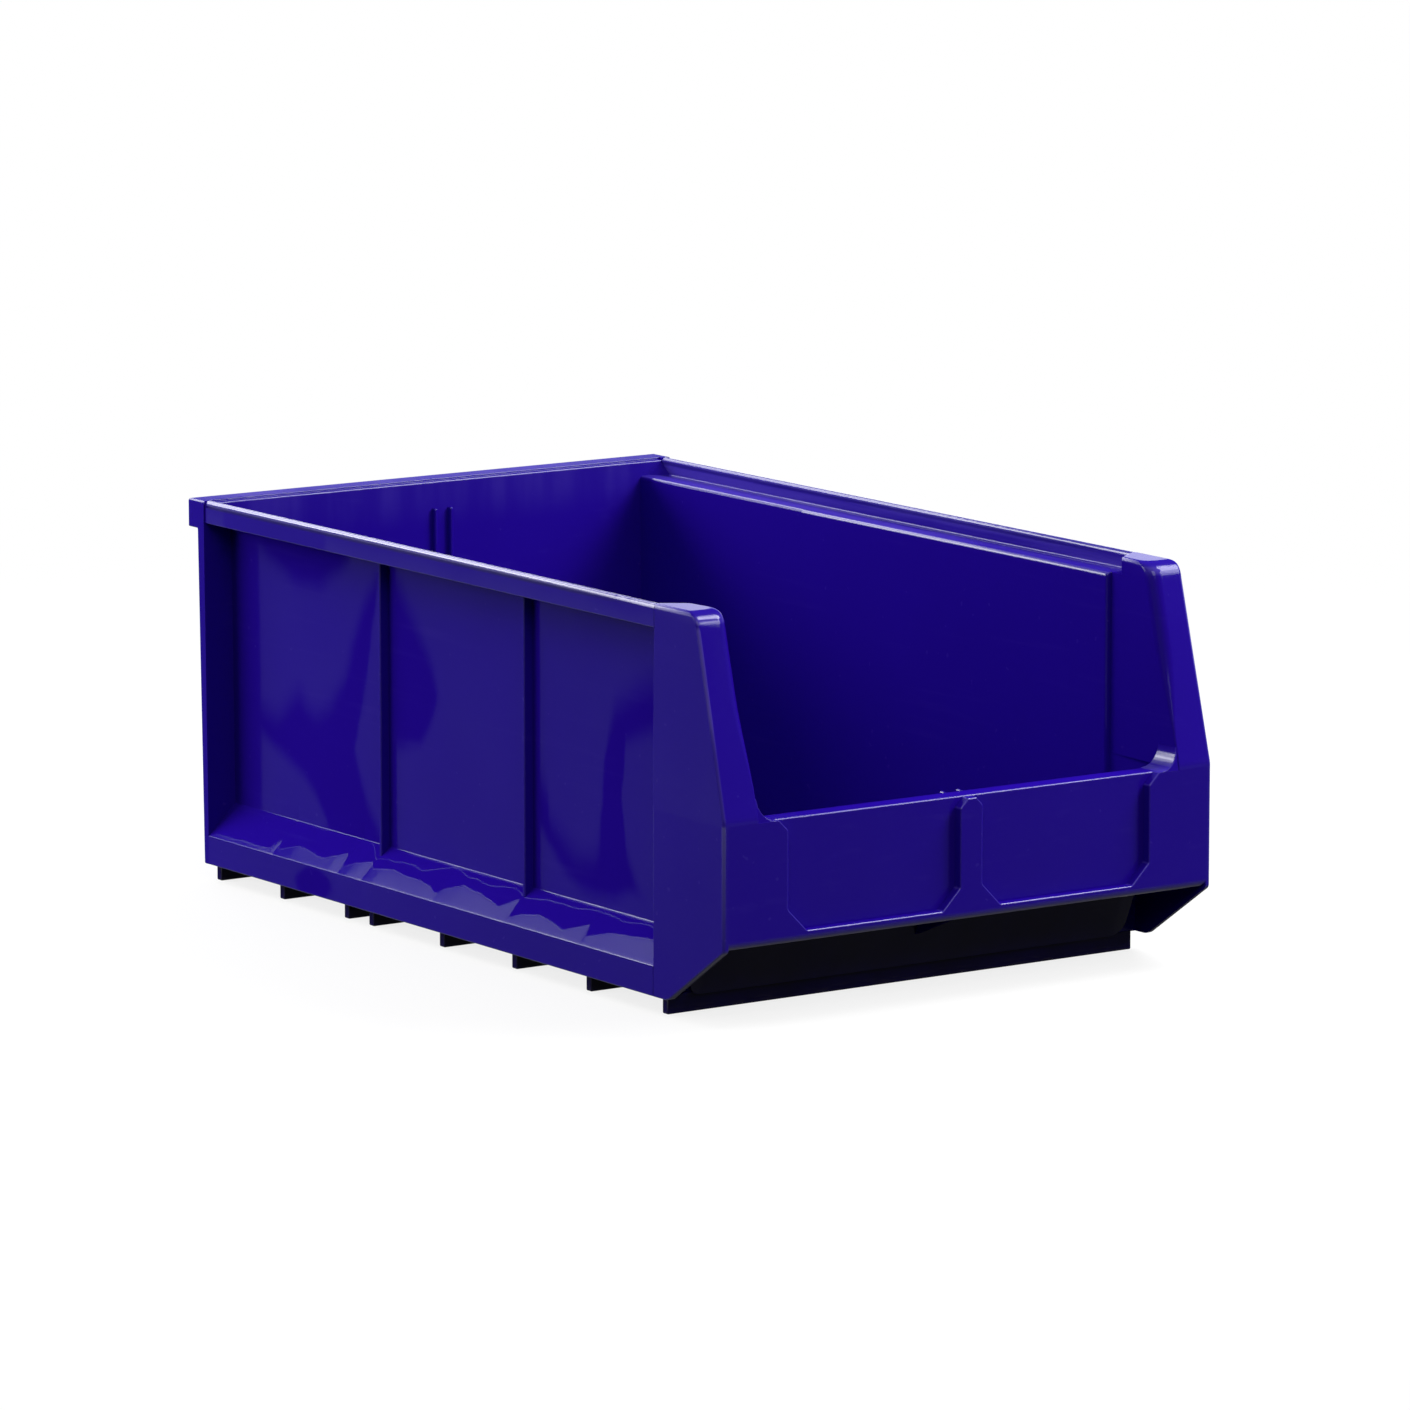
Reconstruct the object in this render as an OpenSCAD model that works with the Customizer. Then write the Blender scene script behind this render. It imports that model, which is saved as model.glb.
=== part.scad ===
// Stackable, open-fronted storage bin with a hopper front, a stacking rim
// and a rear hanging lip. Front faces -Y, rear +Y, floor of the bin at +Z.
// Origin: centre of the footprint, on the surface that the feet stand on.

/* [Overall] */
// Length from the front face to the back of the hanging lip
bin_l = 500; // [490:1:560]
// Width over the posts and skirts
bin_w = 300; // [250:1:360]
// Height from the feet to the top of the rim
bin_h = 205; // [180:1:260]
// Moulded wall thickness
wall_t = 3; // [2:0.1:4]

/* [Sides] */
// Depth of the side recess, from the post face in to the tub wall
side_recess = 17; // [15:0.5:24]
// How far the rim face stands in from the post face
rim_inset = 0.8; // [0.4:0.1:2]
// Width of the rim
rim_w = 4.8; // [3.8:0.1:7]
// Height of the rim above the stacking ledge
rim_rise = 9; // [6:0.5:12]
// Radius on the top edges of the rim
rim_r = 1.6; // [0.5:0.1:1.8]
// Radius on the inner edge of the stacking ledge
ledge_r = 2.5; // [0.5:0.1:2.8]
// Extra thickness of the front part of the side walls
wall_jog = 1; // [0.4:0.1:2]
// Height of the skirt
skirt_h = 15.4; // [10:0.1:24]
// Height of the sloping shoulder above the skirt
shoulder_rise = 16.4; // [10:0.1:22]
// How far the side ribs stand out of the tub wall
rib_proud = 5; // [2:0.5:9]
// Thickness of the side ribs
rib_t = 2.5; // [1.5:0.1:4]

/* [Rear] */
// Thickness of the rear wall at its foot
rear_foot_t = 5; // [3:0.1:6.5]
// Thickness of the rear wall at its top
rear_top_t = 7; // [5:0.1:9]
// How far the back of the rear wall leans over its height
rear_lean = 4.1; // [1:0.1:8]
// Width of the step along the inner top edge of the rear wall
rear_step_w = 2.5; // [1:0.1:4]
// Depth of that step below the top
rear_step_h = 1.2; // [0.5:0.1:3]
// Reach of the hanging lip behind the rear wall
lip_reach = 9; // [8:0.5:16]
// Height of the hanging lip
lip_h = 15.2; // [10:0.1:24]
// Leg of the gusset in each rear corner of the rim
gusset_leg = 9; // [5:0.5:10]

/* [Front posts] */
// Length of a post along the bin
post_l = 61; // [54:1:75]
// Width of a post across the bin
post_w = 18; // [16:0.5:20]
// How far the top of a post is set back from the front face
post_setback = 26; // [10:1:28]
// Radius on the top front corner of a post
post_r = 9; // [3:0.5:10]
// Length of the chamfer under a post
chamfer_l = 48; // [35:1:52]
// Radius on the lower end of that chamfer
chamfer_r = 10; // [2:0.5:14]

/* [Front wall] */
// Height of the sill
sill_z = 103; // [90:1:125]
// Height above the sill at which the posts bend back
kink_rise = 2; // [0.5:0.5:10]
// Depth of the sill, from the label panel back to the inside
sill_d = 12; // [9:0.5:18]
// Radius on the front edge of the sill
sill_r = 2; // [0.5:0.1:2.5]
// Width of the fillet from the sill up to a post
fillet_w = 11; // [4:0.5:14]
// Height of that fillet
fillet_h = 5.5; // [3:0.5:12]
// Flat step left at the top of that fillet
fillet_step = 1.5; // [0.5:0.1:3]
// Height of the lower edge of the front above the ground
apron_z = 41; // [36:0.1:50]
// Radius on the lower edge of the front
apron_r = 2.5; // [0.5:0.1:4]
// Distance of the foot of the sloping inner wall ahead of the backs of the posts
hopper_ahead = 7.5; // [5:0.5:16]
// Thickness of the web behind the label panel
front_web_t = 3; // [2:0.1:5]
// Height at which that web meets the sloping wall
front_web_z = 26; // [18:0.5:34]

/* [Label panels] */
// Depth of the label recess behind the front face
label_depth = 5; // [3:0.1:7]
// Distance of the outer edge of a label recess from the post
label_inset = 21.5; // [16:0.5:30]
// Height of the rail under the label recesses
rail_h = 5.9; // [4:0.1:10]
// Width of the centre post between the label recesses
centre_w = 14.6; // [13:0.2:24]
// Leg of the cut in the lower corners of a label recess
label_cut = 10.5; // [4:0.5:16]
// Leg of the cut in the upper corners of a label recess
label_top_cut = 6; // [2:0.5:7]

/* [Feet] */
// Height of the runners under the floor
foot_h = 9.2; // [6:0.1:14]
// Thickness of a runner
runner_t = 4.4; // [3:0.1:6]
// Clearance between a runner's end and the rim of the bin below
stack_gap = 0.6; // [0.3:0.1:3]
// Pitch of the five front runners, the first under the backs of the posts
front_pitch = 67.6; // [60:0.1:68]
// Pitch of the three rear runners
rear_pitch = 64; // [55:0.5:65]

/* [Divider guides] */
// Distance between the two ribs of a guide
guide_gap = 10; // [6:0.2:16]
// Thickness of a guide rib
guide_t = 2.5; // [1.5:0.1:4]
// How far a guide rib stands out of its wall
guide_proud = 3; // [1.5:0.1:6]
// Depth of the rear guide's top below the rim
guide_drop = 15.5; // [12:0.5:60]
// Rise of the front guide's top above the sill
guide_rise = 0.5; // [0.2:0.1:3]

/* [Hidden] */
$fn = 48;
bin_blue = [0.13, 0.05, 0.47];
past = 20;
arc_steps = 8;

half_w = bin_w / 2;
front_y = -bin_l / 2;
rear_y = bin_l / 2;

tub_x = half_w - side_recess;
tub_in = tub_x - wall_t;
jog_in = tub_in - wall_jog;
plate_in = half_w - wall_t;
rim_x = half_w - rim_inset;
rim_in = rim_x - rim_w;
bay_in = half_w - post_w;
bay_x = bay_in + wall_t;

ledge_z = bin_h - rim_rise;
ledge_low = ledge_z - wall_t;
floor_z = foot_h + wall_t;
skirt_z = foot_h + skirt_h;
panel_z = skirt_z + shoulder_rise;
shoulder_low = panel_z - wall_t * sqrt(1 + pow(shoulder_rise / side_recess, 2));

back_top_y = rear_y - lip_reach;
back_foot_y = back_top_y - rear_lean;
wall_top_y = back_top_y - rear_top_t;
wall_foot_y = back_foot_y - rear_foot_t;
lip_low = bin_h - lip_h;
lip_in = rear_y - wall_t;

post_rear = front_y + post_l;
kink_z = sill_z + kink_rise;
slope = post_setback / (bin_h - kink_z);
slope_t = wall_t * sqrt(1 + slope * slope);
panel_y = front_y + label_depth;
panel_back = panel_y + wall_t;
sill_low = sill_z - wall_t;
sill_back = panel_y + sill_d;
hopper_foot = post_rear - hopper_ahead;
hopper_slope = (hopper_foot + wall_t - sill_back) / (sill_low - foot_h);
hopper_t = wall_t * sqrt(1 + hopper_slope * hopper_slope);
hopper_top = sill_back - hopper_t;
rail_z = apron_z + rail_h;
label_x = bay_in - label_inset;
flare = rim_in - bay_in;
runner_x = rim_in - stack_gap;

front_count = 5;
rear_count = 3;
front_runners = [for (i = [0 : front_count - 1]) post_rear - wall_t / 2 + i * front_pitch];
rear_runners = [for (i = [rear_count - 1 : -1 : 0]) wall_foot_y - i * rear_pitch];
runner_y = concat(front_runners, rear_runners);
jog_y = front_runners[front_count - 1];
rib_y = [front_runners[2], front_runners[4]];

// Position along the bin of the rear wall's inner face at height z
function wall_y(z) = wall_foot_y + (wall_top_y - wall_foot_y) * (z - foot_h) / (bin_h - foot_h);

// Position along the bin of the rear wall's outer face at height z
function back_y(z) = back_foot_y + rear_lean * (z - foot_h) / (bin_h - foot_h);

// Position along the bin of the posts' front face at height z above the bend
function post_y(z) = front_y + slope * (z - kink_z);

// Position along the bin of the sloping wall's outer face at height z
function hopper_y(z) = hopper_top + hopper_slope * (sill_low - z);

// Points of a quarter arc round c, starting at angle a
function quarter(c, r, a) =
    [for (i = [0 : arc_steps]) c + r * [cos(a + i * 90 / arc_steps), sin(a + i * 90 / arc_steps)]];

// Points of the round that fits the corner b between a and c
function corner(a, b, c, r) =
    let (u = (a - b) / norm(a - b))
    let (v = (c - b) / norm(c - b))
    let (half = acos(u * v) / 2)
    let (mid = b + (u + v) / norm(u + v) * r / sin(half))
    let (p = b + u * r / tan(half) - mid)
    let (q = b + v * r / tan(half) - mid)
    let (turn = 180 - 2 * half)
    [for (i = [0 : arc_steps])
        mid + (p * sin((1 - i / arc_steps) * turn) + q * sin(i / arc_steps * turn)) / sin(turn)];

// Outline in Y and Z, extruded from x0 to x1
module along_x(x0, x1) {
    translate([x0, 0, 0])
        rotate([90, 0, 90])
            linear_extrude(x1 - x0)
                children();
}

// Outline in X and Z, extruded from y0 to y1
module along_y(y0, y1) {
    translate([0, y1, 0])
        rotate([90, 0, 0])
            linear_extrude(y1 - y0)
                children();
}

// Block between two corners
module block(low, high) {
    translate(low)
        cube(high - low);
}

// Right-hand piece as it is, or mirrored to the left
module on_side(side) {
    if (side > 0)
        children();
    else
        mirror([1, 0, 0])
            children();
}

// Everything behind the rear wall's inner face
module behind_wall() {
    along_x(-half_w - past, half_w + past)
        polygon([
            [wall_y(-past), -past],
            [rear_y + past, -past],
            [rear_y + past, bin_h + past],
            [wall_y(bin_h + past), bin_h + past]
        ]);
}

// Everything ahead of the sloping wall's inner face
module ahead_of_hopper() {
    along_x(-half_w - past, half_w + past)
        polygon([
            [hopper_y(-past) + hopper_t, -past],
            [hopper_y(bin_h) + hopper_t, bin_h],
            [front_y - past, bin_h],
            [front_y - past, -past]
        ]);
}

// Floor, wider where it runs into the post bays
module floor_pan() {
    color(bin_blue)
        difference() {
            translate([0, 0, foot_h])
                linear_extrude(wall_t)
                    polygon([
                        [-bay_in, front_y],
                        [bay_in, front_y],
                        [bay_in, post_rear],
                        [jog_in, post_rear],
                        [jog_in, jog_y],
                        [tub_in, jog_y],
                        [tub_in, rear_y],
                        [-tub_in, rear_y],
                        [-tub_in, jog_y],
                        [-jog_in, jog_y],
                        [-jog_in, post_rear],
                        [-bay_in, post_rear]
                    ]);
            behind_wall();
            ahead_of_hopper();
        }
}

// Rear wall, leaning back, stepped along its top, with flanges out to the full width
module rear_wall() {
    color(bin_blue)
        along_x(-half_w, half_w)
            polygon([
                [wall_y(foot_h), foot_h],
                [back_y(foot_h), foot_h],
                [back_y(bin_h), bin_h],
                [wall_y(bin_h) + rear_step_w, bin_h],
                [wall_y(bin_h) + rear_step_w, bin_h - rear_step_h],
                [wall_y(bin_h - rear_step_h), bin_h - rear_step_h]
            ]);
}

// Flat top of the hanging lip
module rear_lip_top() {
    color(bin_blue)
        along_x(-half_w, half_w)
            polygon([
                [back_y(bin_h - wall_t), bin_h - wall_t],
                [rear_y, bin_h - wall_t],
                [rear_y, bin_h],
                [back_y(bin_h), bin_h]
            ]);
}

// Turned-down edge of the hanging lip
module rear_lip_face() {
    color(bin_blue)
        block([-half_w, lip_in, lip_low], [half_w, rear_y, bin_h - wall_t]);
}

// End of the hanging lip, closing the slot behind the rear wall
module lip_end() {
    color(bin_blue)
        along_x(plate_in, half_w)
            polygon([
                [back_y(lip_low), lip_low],
                [lip_in, lip_low],
                [lip_in, bin_h - wall_t],
                [back_y(bin_h - wall_t), bin_h - wall_t]
            ]);
}

// Side wall of the tub, thicker ahead of the jog
module side_wall() {
    color(bin_blue)
        difference() {
            union() {
                block([jog_in, post_rear, foot_h], [tub_x, jog_y, ledge_low]);
                block([tub_in, post_rear, foot_h], [tub_x, rear_y, ledge_low]);
            }
            behind_wall();
        }
}

// Section of the stacking ledge with its inner edge at x_in
module ledge_section(x_in) {
    polygon(concat(
        [[x_in, ledge_low], [rim_in, ledge_low], [rim_in, ledge_z]],
        quarter([x_in + ledge_r, ledge_z - ledge_r], ledge_r, 90)
    ));
}

// Ledge that carries the feet of the next bin, with its tongue in the post
module stacking_ledge() {
    color(bin_blue)
        difference() {
            union() {
                along_y(post_rear, jog_y)
                    ledge_section(jog_in);
                along_y(post_rear, rear_y)
                    ledge_section(tub_in);
                translate([0, 0, ledge_low])
                    linear_extrude(wall_t)
                        polygon([
                            [bay_in, post_rear + wall_t],
                            [bay_in, post_rear - flare],
                            [rim_in, post_rear],
                            [rim_in, post_rear + wall_t]
                        ]);
            }
            behind_wall();
            gusset_foot();
        }
}

// Rim that keeps the next bin in place, rounded along its top
module rim() {
    color(bin_blue)
        difference() {
            along_y(post_rear, rear_y)
                polygon(concat(
                    [[rim_in, ledge_low], [rim_x, ledge_low]],
                    quarter([rim_x - rim_r, bin_h - rim_r], rim_r, 0),
                    quarter([rim_in + rim_r, bin_h - rim_r], rim_r, 90)
                ));
            behind_wall();
        }
}

// Foot of a rim gusset, down through the ledge
module gusset_foot() {
    translate([0, 0, ledge_low])
        linear_extrude(wall_t)
            polygon([
                [rim_in - gusset_leg, wall_top_y],
                [rim_in, wall_top_y - gusset_leg],
                [rim_in, wall_top_y]
            ]);
}

// Three-sided gusset in the rear corner of the rim
module rim_gusset() {
    color(bin_blue)
        difference() {
            union() {
                gusset_foot();
                polyhedron(
                    [
                        [rim_in - gusset_leg, wall_top_y, ledge_z],
                        [rim_in, wall_top_y - gusset_leg, ledge_z],
                        [rim_in, wall_top_y, ledge_z],
                        [rim_in, wall_top_y, bin_h - rim_r]
                    ],
                    [[0, 1, 2], [0, 3, 1], [1, 3, 2], [2, 3, 0]]
                );
            }
            behind_wall();
        }
}

// Sloping shoulder between the side panel and the skirt
module shoulder() {
    color(bin_blue)
        difference() {
            along_y(post_rear, rear_y)
                polygon([
                    [tub_x, shoulder_low],
                    [plate_in, skirt_z],
                    [half_w, skirt_z],
                    [tub_x, panel_z]
                ]);
            behind_wall();
        }
}

// Upright skirt round the foot of the bin
module skirt() {
    color(bin_blue)
        difference() {
            block([plate_in, post_rear, foot_h], [half_w, rear_y, skirt_z]);
            behind_wall();
        }
}

// Upright rib on the outside of the tub wall, at y
module side_rib(y) {
    color(bin_blue)
        along_y(y - rib_t / 2, y + rib_t / 2)
            polygon([
                [tub_x, panel_z],
                [tub_x + rib_proud, panel_z - shoulder_rise * rib_proud / side_recess],
                [tub_x + rib_proud, ledge_low],
                [tub_x, ledge_low]
            ]);
}

// Outer face of a front post, chamfered underneath
module post_plate() {
    back_low = [post_rear, foot_h];
    back_high = [post_rear, bin_h];
    top = [front_y + post_setback, bin_h];
    kink = [front_y, kink_z];
    toe = [front_y, apron_z];
    heel = [front_y + chamfer_l, foot_h];
    color(bin_blue)
        along_x(plate_in, half_w)
            polygon(concat(
                [back_low, back_high],
                corner(back_high, top, kink, post_r),
                [kink],
                corner(kink, toe, heel, apron_r),
                corner(toe, heel, back_low, chamfer_r)
            ));
}

// Sloping front of a post, above the bend
module post_front() {
    color(bin_blue)
        along_x(bay_in, plate_in)
            polygon([
                [front_y, kink_z],
                [front_y + slope_t, kink_z],
                [post_y(ledge_low) + slope_t, ledge_low],
                [post_y(ledge_low), ledge_low]
            ]);
}

// Top of a post, cored out below, flared from the rim to the post's inside
module post_cap() {
    top = [front_y + post_setback, bin_h];
    color(bin_blue)
        difference() {
            intersection() {
                along_x(bay_in, plate_in)
                    polygon(concat(
                        [[post_y(ledge_low), ledge_low], [post_rear, ledge_low], [post_rear, bin_h]],
                        corner([post_rear, bin_h], top, [front_y, kink_z], post_r)
                    ));
                translate([0, 0, ledge_low])
                    linear_extrude(bin_h - ledge_low)
                        polygon([
                            [bay_in, front_y],
                            [plate_in, front_y],
                            [plate_in, post_rear],
                            [rim_in, post_rear],
                            [bay_in, post_rear - flare]
                        ]);
            }
            block(
                [bay_x, post_y(bin_h) + post_r, ledge_low - past],
                [plate_in, post_rear - flare - wall_t, bin_h - wall_t]
            );
        }
}

// Web that closes the back of a post and stands on the first runner
module post_web() {
    color(bin_blue)
        block([bay_x, post_rear - wall_t, foot_h], [plate_in, post_rear, ledge_low]);
}

// Inside of a post bay, from the floor to the cap
module bay_wall() {
    color(bin_blue)
        along_x(bay_in, bay_x)
            polygon([
                [post_rear, foot_h],
                [post_rear, ledge_low],
                [post_y(ledge_low) + slope_t, ledge_low],
                [front_y + slope_t, kink_z],
                [panel_y, kink_z],
                [panel_y, apron_z],
                [hopper_y(apron_z), apron_z],
                [hopper_y(foot_h), foot_h]
            ]);
}

// Fillet from the sill up to a post, with a flat step at its top
module sill_fillet() {
    top = sill_z + fillet_h;
    centre = [bay_in - fillet_step - fillet_w, top];
    bend = min(kink_z, top);
    color(bin_blue)
        intersection() {
            along_y(front_y, sill_back)
                polygon(concat(
                    [[bay_in, sill_z], [bay_in, top]],
                    [for (i = [0 : arc_steps])
                        centre + [fillet_w * cos(i * 90 / arc_steps), -fillet_h * sin(i * 90 / arc_steps)]]
                ));
            along_x(0, half_w)
                polygon([
                    [front_y, sill_z],
                    [front_y, bend],
                    [post_y(max(kink_z, top)), top],
                    [sill_back, top],
                    [sill_back, sill_z]
                ]);
        }
}

// Front frame between a post and a label recess, with the recess's cut corners
module frame_end() {
    color(bin_blue)
        along_y(front_y, panel_y)
            polygon([
                [plate_in, rail_z],
                [plate_in, kink_z],
                [bay_in, kink_z],
                [bay_in, sill_z],
                [label_x + label_top_cut, sill_z],
                [label_x, sill_z - label_top_cut],
                [label_x, rail_z + label_cut],
                [label_x - label_cut, rail_z]
            ]);
}

// Sloping inner wall of the hopper front
module hopper_wall() {
    color(bin_blue)
        along_x(-bay_in, bay_in)
            polygon([
                [hopper_y(foot_h), foot_h],
                [hopper_y(foot_h) + hopper_t, foot_h],
                [hopper_y(sill_low) + hopper_t, sill_low],
                [hopper_y(sill_low), sill_low]
            ]);
}

// Sill over the label panel, rounded along its front edge
module front_sill() {
    color(bin_blue)
        along_x(-bay_in, bay_in)
            polygon(concat(
                [[panel_y, sill_low], [sill_back, sill_low], [sill_back, sill_z]],
                quarter([panel_y + sill_r, sill_z - sill_r], sill_r, 90)
            ));
}

// Panel at the back of the two label recesses
module label_panel() {
    color(bin_blue)
        block([-bay_in, panel_y, apron_z], [bay_in, panel_back, sill_low]);
}

// Rail along the lower edge of the front
module front_rail() {
    color(bin_blue)
        along_x(-plate_in, plate_in)
            polygon(concat(
                [[panel_y, apron_z], [panel_y, rail_z], [front_y, rail_z]],
                quarter([front_y + apron_r, apron_z + apron_r], apron_r, 180)
            ));
}

// Post between the label recesses, with a spread foot and a cut top
module centre_post() {
    half = centre_w / 2;
    tip = half - label_top_cut;
    color(bin_blue)
        along_y(front_y, panel_y)
            polygon([
                [-half - label_cut, rail_z],
                [half + label_cut, rail_z],
                [half, rail_z + label_cut],
                [half, sill_low - label_top_cut],
                [tip, sill_low],
                [-tip, sill_low],
                [-half, sill_low - label_top_cut],
                [-half, rail_z + label_cut]
            ]);
}

// Web between the label panel and the sloping wall
module front_web() {
    color(bin_blue)
        along_x(-front_web_t / 2, front_web_t / 2)
            polygon([
                [panel_back, apron_z],
                [panel_back, sill_low],
                [hopper_y(sill_low), sill_low],
                [hopper_y(front_web_z), front_web_z]
            ]);
}

// Rib of the divider guide on the sloping wall, up past the sill
module front_guide() {
    color(bin_blue)
        along_x((guide_gap - guide_t) / 2, (guide_gap + guide_t) / 2)
            polygon([
                [hopper_y(floor_z) + hopper_t, floor_z],
                [hopper_y(floor_z) + hopper_t + guide_proud, floor_z],
                [sill_back + guide_proud, sill_low],
                [sill_back + guide_proud, sill_z + guide_rise],
                [sill_back, sill_z + guide_rise],
                [sill_back, sill_low]
            ]);
}

// Rib of the divider guide on the rear wall
module rear_guide() {
    top = bin_h - guide_drop;
    color(bin_blue)
        along_x((guide_gap - guide_t) / 2, (guide_gap + guide_t) / 2)
            polygon([
                [wall_y(floor_z), floor_z],
                [wall_y(top), top],
                [wall_y(top) - guide_proud, top],
                [wall_y(floor_z) - guide_proud, floor_z]
            ]);
}

// Web of a runner between the tub wall and the skirt, under the shoulder
module runner_web(y) {
    along_y(y - runner_t / 2, y + runner_t / 2)
        polygon([
            [tub_x, foot_h],
            [plate_in, foot_h],
            [plate_in, skirt_z],
            [tub_x, shoulder_low]
        ]);
}

// Cross runner under the floor; the inner ones carry webs up to the shoulders
module runner(i) {
    y = runner_y[i];
    webbed = i > 0 && i < len(runner_y) - 1;
    color(bin_blue)
        union() {
            block([-runner_x, y - runner_t / 2, 0], [runner_x, y + runner_t / 2, foot_h]);
            if (webbed)
                for (side = [-1, 1])
                    on_side(side)
                        runner_web(y);
        }
}

floor_pan();
rear_wall();
rear_lip_top();
rear_lip_face();
on_side(-1) lip_end();  // rear_lip_left_end
on_side(1) lip_end();  // rear_lip_right_end
on_side(-1) side_wall();  // left_side_wall
on_side(1) side_wall();  // right_side_wall
on_side(-1) stacking_ledge();  // left_stacking_ledge
on_side(1) stacking_ledge();  // right_stacking_ledge
on_side(-1) rim();  // left_rim
on_side(1) rim();  // right_rim
on_side(-1) rim_gusset();  // left_rim_gusset
on_side(1) rim_gusset();  // right_rim_gusset
on_side(-1) shoulder();  // left_shoulder
on_side(1) shoulder();  // right_shoulder
on_side(-1) skirt();  // left_skirt
on_side(1) skirt();  // right_skirt
on_side(-1) side_rib(rib_y[0]);  // left_front_rib
on_side(1) side_rib(rib_y[0]);  // right_front_rib
on_side(-1) side_rib(rib_y[1]);  // left_rear_rib
on_side(1) side_rib(rib_y[1]);  // right_rear_rib
on_side(-1) post_plate();  // left_post_plate
on_side(1) post_plate();  // right_post_plate
on_side(-1) post_front();  // left_post_front
on_side(1) post_front();  // right_post_front
on_side(-1) post_cap();  // left_post_cap
on_side(1) post_cap();  // right_post_cap
on_side(-1) post_web();  // left_post_web
on_side(1) post_web();  // right_post_web
on_side(-1) bay_wall();  // left_bay_wall
on_side(1) bay_wall();  // right_bay_wall
on_side(-1) sill_fillet();  // left_sill_fillet
on_side(1) sill_fillet();  // right_sill_fillet
on_side(-1) frame_end();  // left_frame_end
on_side(1) frame_end();  // right_frame_end
hopper_wall();
front_sill();
label_panel();
front_rail();
centre_post();
front_web();
on_side(-1) front_guide();  // front_guide_left
on_side(1) front_guide();  // front_guide_right
on_side(-1) rear_guide();  // rear_guide_left
on_side(1) rear_guide();  // rear_guide_right
runner(0);  // runner_1
runner(1);  // runner_2
runner(2);  // runner_3
runner(3);  // runner_4
runner(4);  // runner_5
runner(5);  // runner_6
runner(6);  // runner_7
runner(7);  // runner_8
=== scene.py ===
import math

import bmesh
import bpy
from mathutils import Matrix, Vector
from mathutils.kdtree import KDTree


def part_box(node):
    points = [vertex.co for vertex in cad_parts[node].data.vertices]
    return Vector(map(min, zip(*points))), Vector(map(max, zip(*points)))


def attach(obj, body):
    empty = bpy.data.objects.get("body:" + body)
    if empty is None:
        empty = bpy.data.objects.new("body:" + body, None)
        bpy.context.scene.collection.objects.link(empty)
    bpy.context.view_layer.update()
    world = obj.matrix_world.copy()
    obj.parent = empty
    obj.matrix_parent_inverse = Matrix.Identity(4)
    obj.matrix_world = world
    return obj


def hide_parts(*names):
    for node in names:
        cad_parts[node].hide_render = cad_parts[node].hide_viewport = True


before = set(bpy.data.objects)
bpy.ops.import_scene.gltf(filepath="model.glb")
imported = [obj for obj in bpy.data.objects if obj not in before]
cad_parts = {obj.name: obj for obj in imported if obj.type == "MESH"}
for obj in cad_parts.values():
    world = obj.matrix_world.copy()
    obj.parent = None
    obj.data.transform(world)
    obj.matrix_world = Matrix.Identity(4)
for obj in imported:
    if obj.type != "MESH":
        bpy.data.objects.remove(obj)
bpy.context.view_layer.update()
mm = 0.001


def low(node, axis):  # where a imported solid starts, in mm
    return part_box(node)[0]["xyz".index(axis)] / mm


def high(node, axis):  # where it ends
    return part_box(node)[1]["xyz".index(axis)] / mm


# main planes of the moulding
halfWidth = high("right_post_plate", "x")
plateIn = low("right_post_plate", "x")
front = low("right_post_plate", "y")
rear = high("rear_lip_face", "y")
postRear = high("right_post_plate", "y")
foot = low("floor_pan", "z")
floorTop = high("floor_pan", "z")
top = high("right_rim", "z")
wallOut = high("right_side_wall", "x")
wallIn = low("right_side_wall", "x")
bayIn = low("right_bay_wall", "x")
bayOut = high("right_bay_wall", "x")
sillTop = high("front_sill", "z")
sillLow = low("front_sill", "z")
sillBack = high("front_sill", "y")
panelFront = low("label_panel", "y")
panelBack = high("label_panel", "y")
apron = low("label_panel", "z")
wallFoot = low("rear_wall", "y")
wallLean = (high("right_rim", "y") - wallFoot) / (top - foot)
hopperLean = (high("hopper_wall", "y") - sillBack) / (sillLow - foot)
hopperWall = sillBack - low("hopper_wall", "y")
rimIn, rimOut = low("right_rim", "x"), high("right_rim", "x")
ledgeTop, ledgeLow = high("right_stacking_ledge", "z"), low("right_stacking_ledge", "z")
skirtTop = high("right_skirt", "z")
shoulderTop = high("right_shoulder", "z")
webbedRunners = range(2, 8)  # these reach up into the shoulders


def rearWallAt(z):  # inner face of the leaning rear wall
    return wallFoot + wallLean * (z - foot)


def hopperAt(z):  # inner face of the sloping front of the tub
    return sillBack + hopperLean * (sillLow - z)


# how outlines are rounded and which rounds count as edges, lengths in mm
rounding = {
    "steps": 5, "leastRadius": 0.05, "leastInset": 0.001, "widestEdge": 12, "meet": 0.6, "straight": 1e-4,
}
arcSteps = rounding["steps"]
arcTurns = [1 - math.cos(math.pi / 2 * step / arcSteps) for step in range(arcSteps + 1)]


def area(outline):
    pairs = zip(outline, outline[1:] + outline[:1])
    return sum(a[0] * b[1] - b[0] * a[1] for a, b in pairs) / 2


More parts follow.
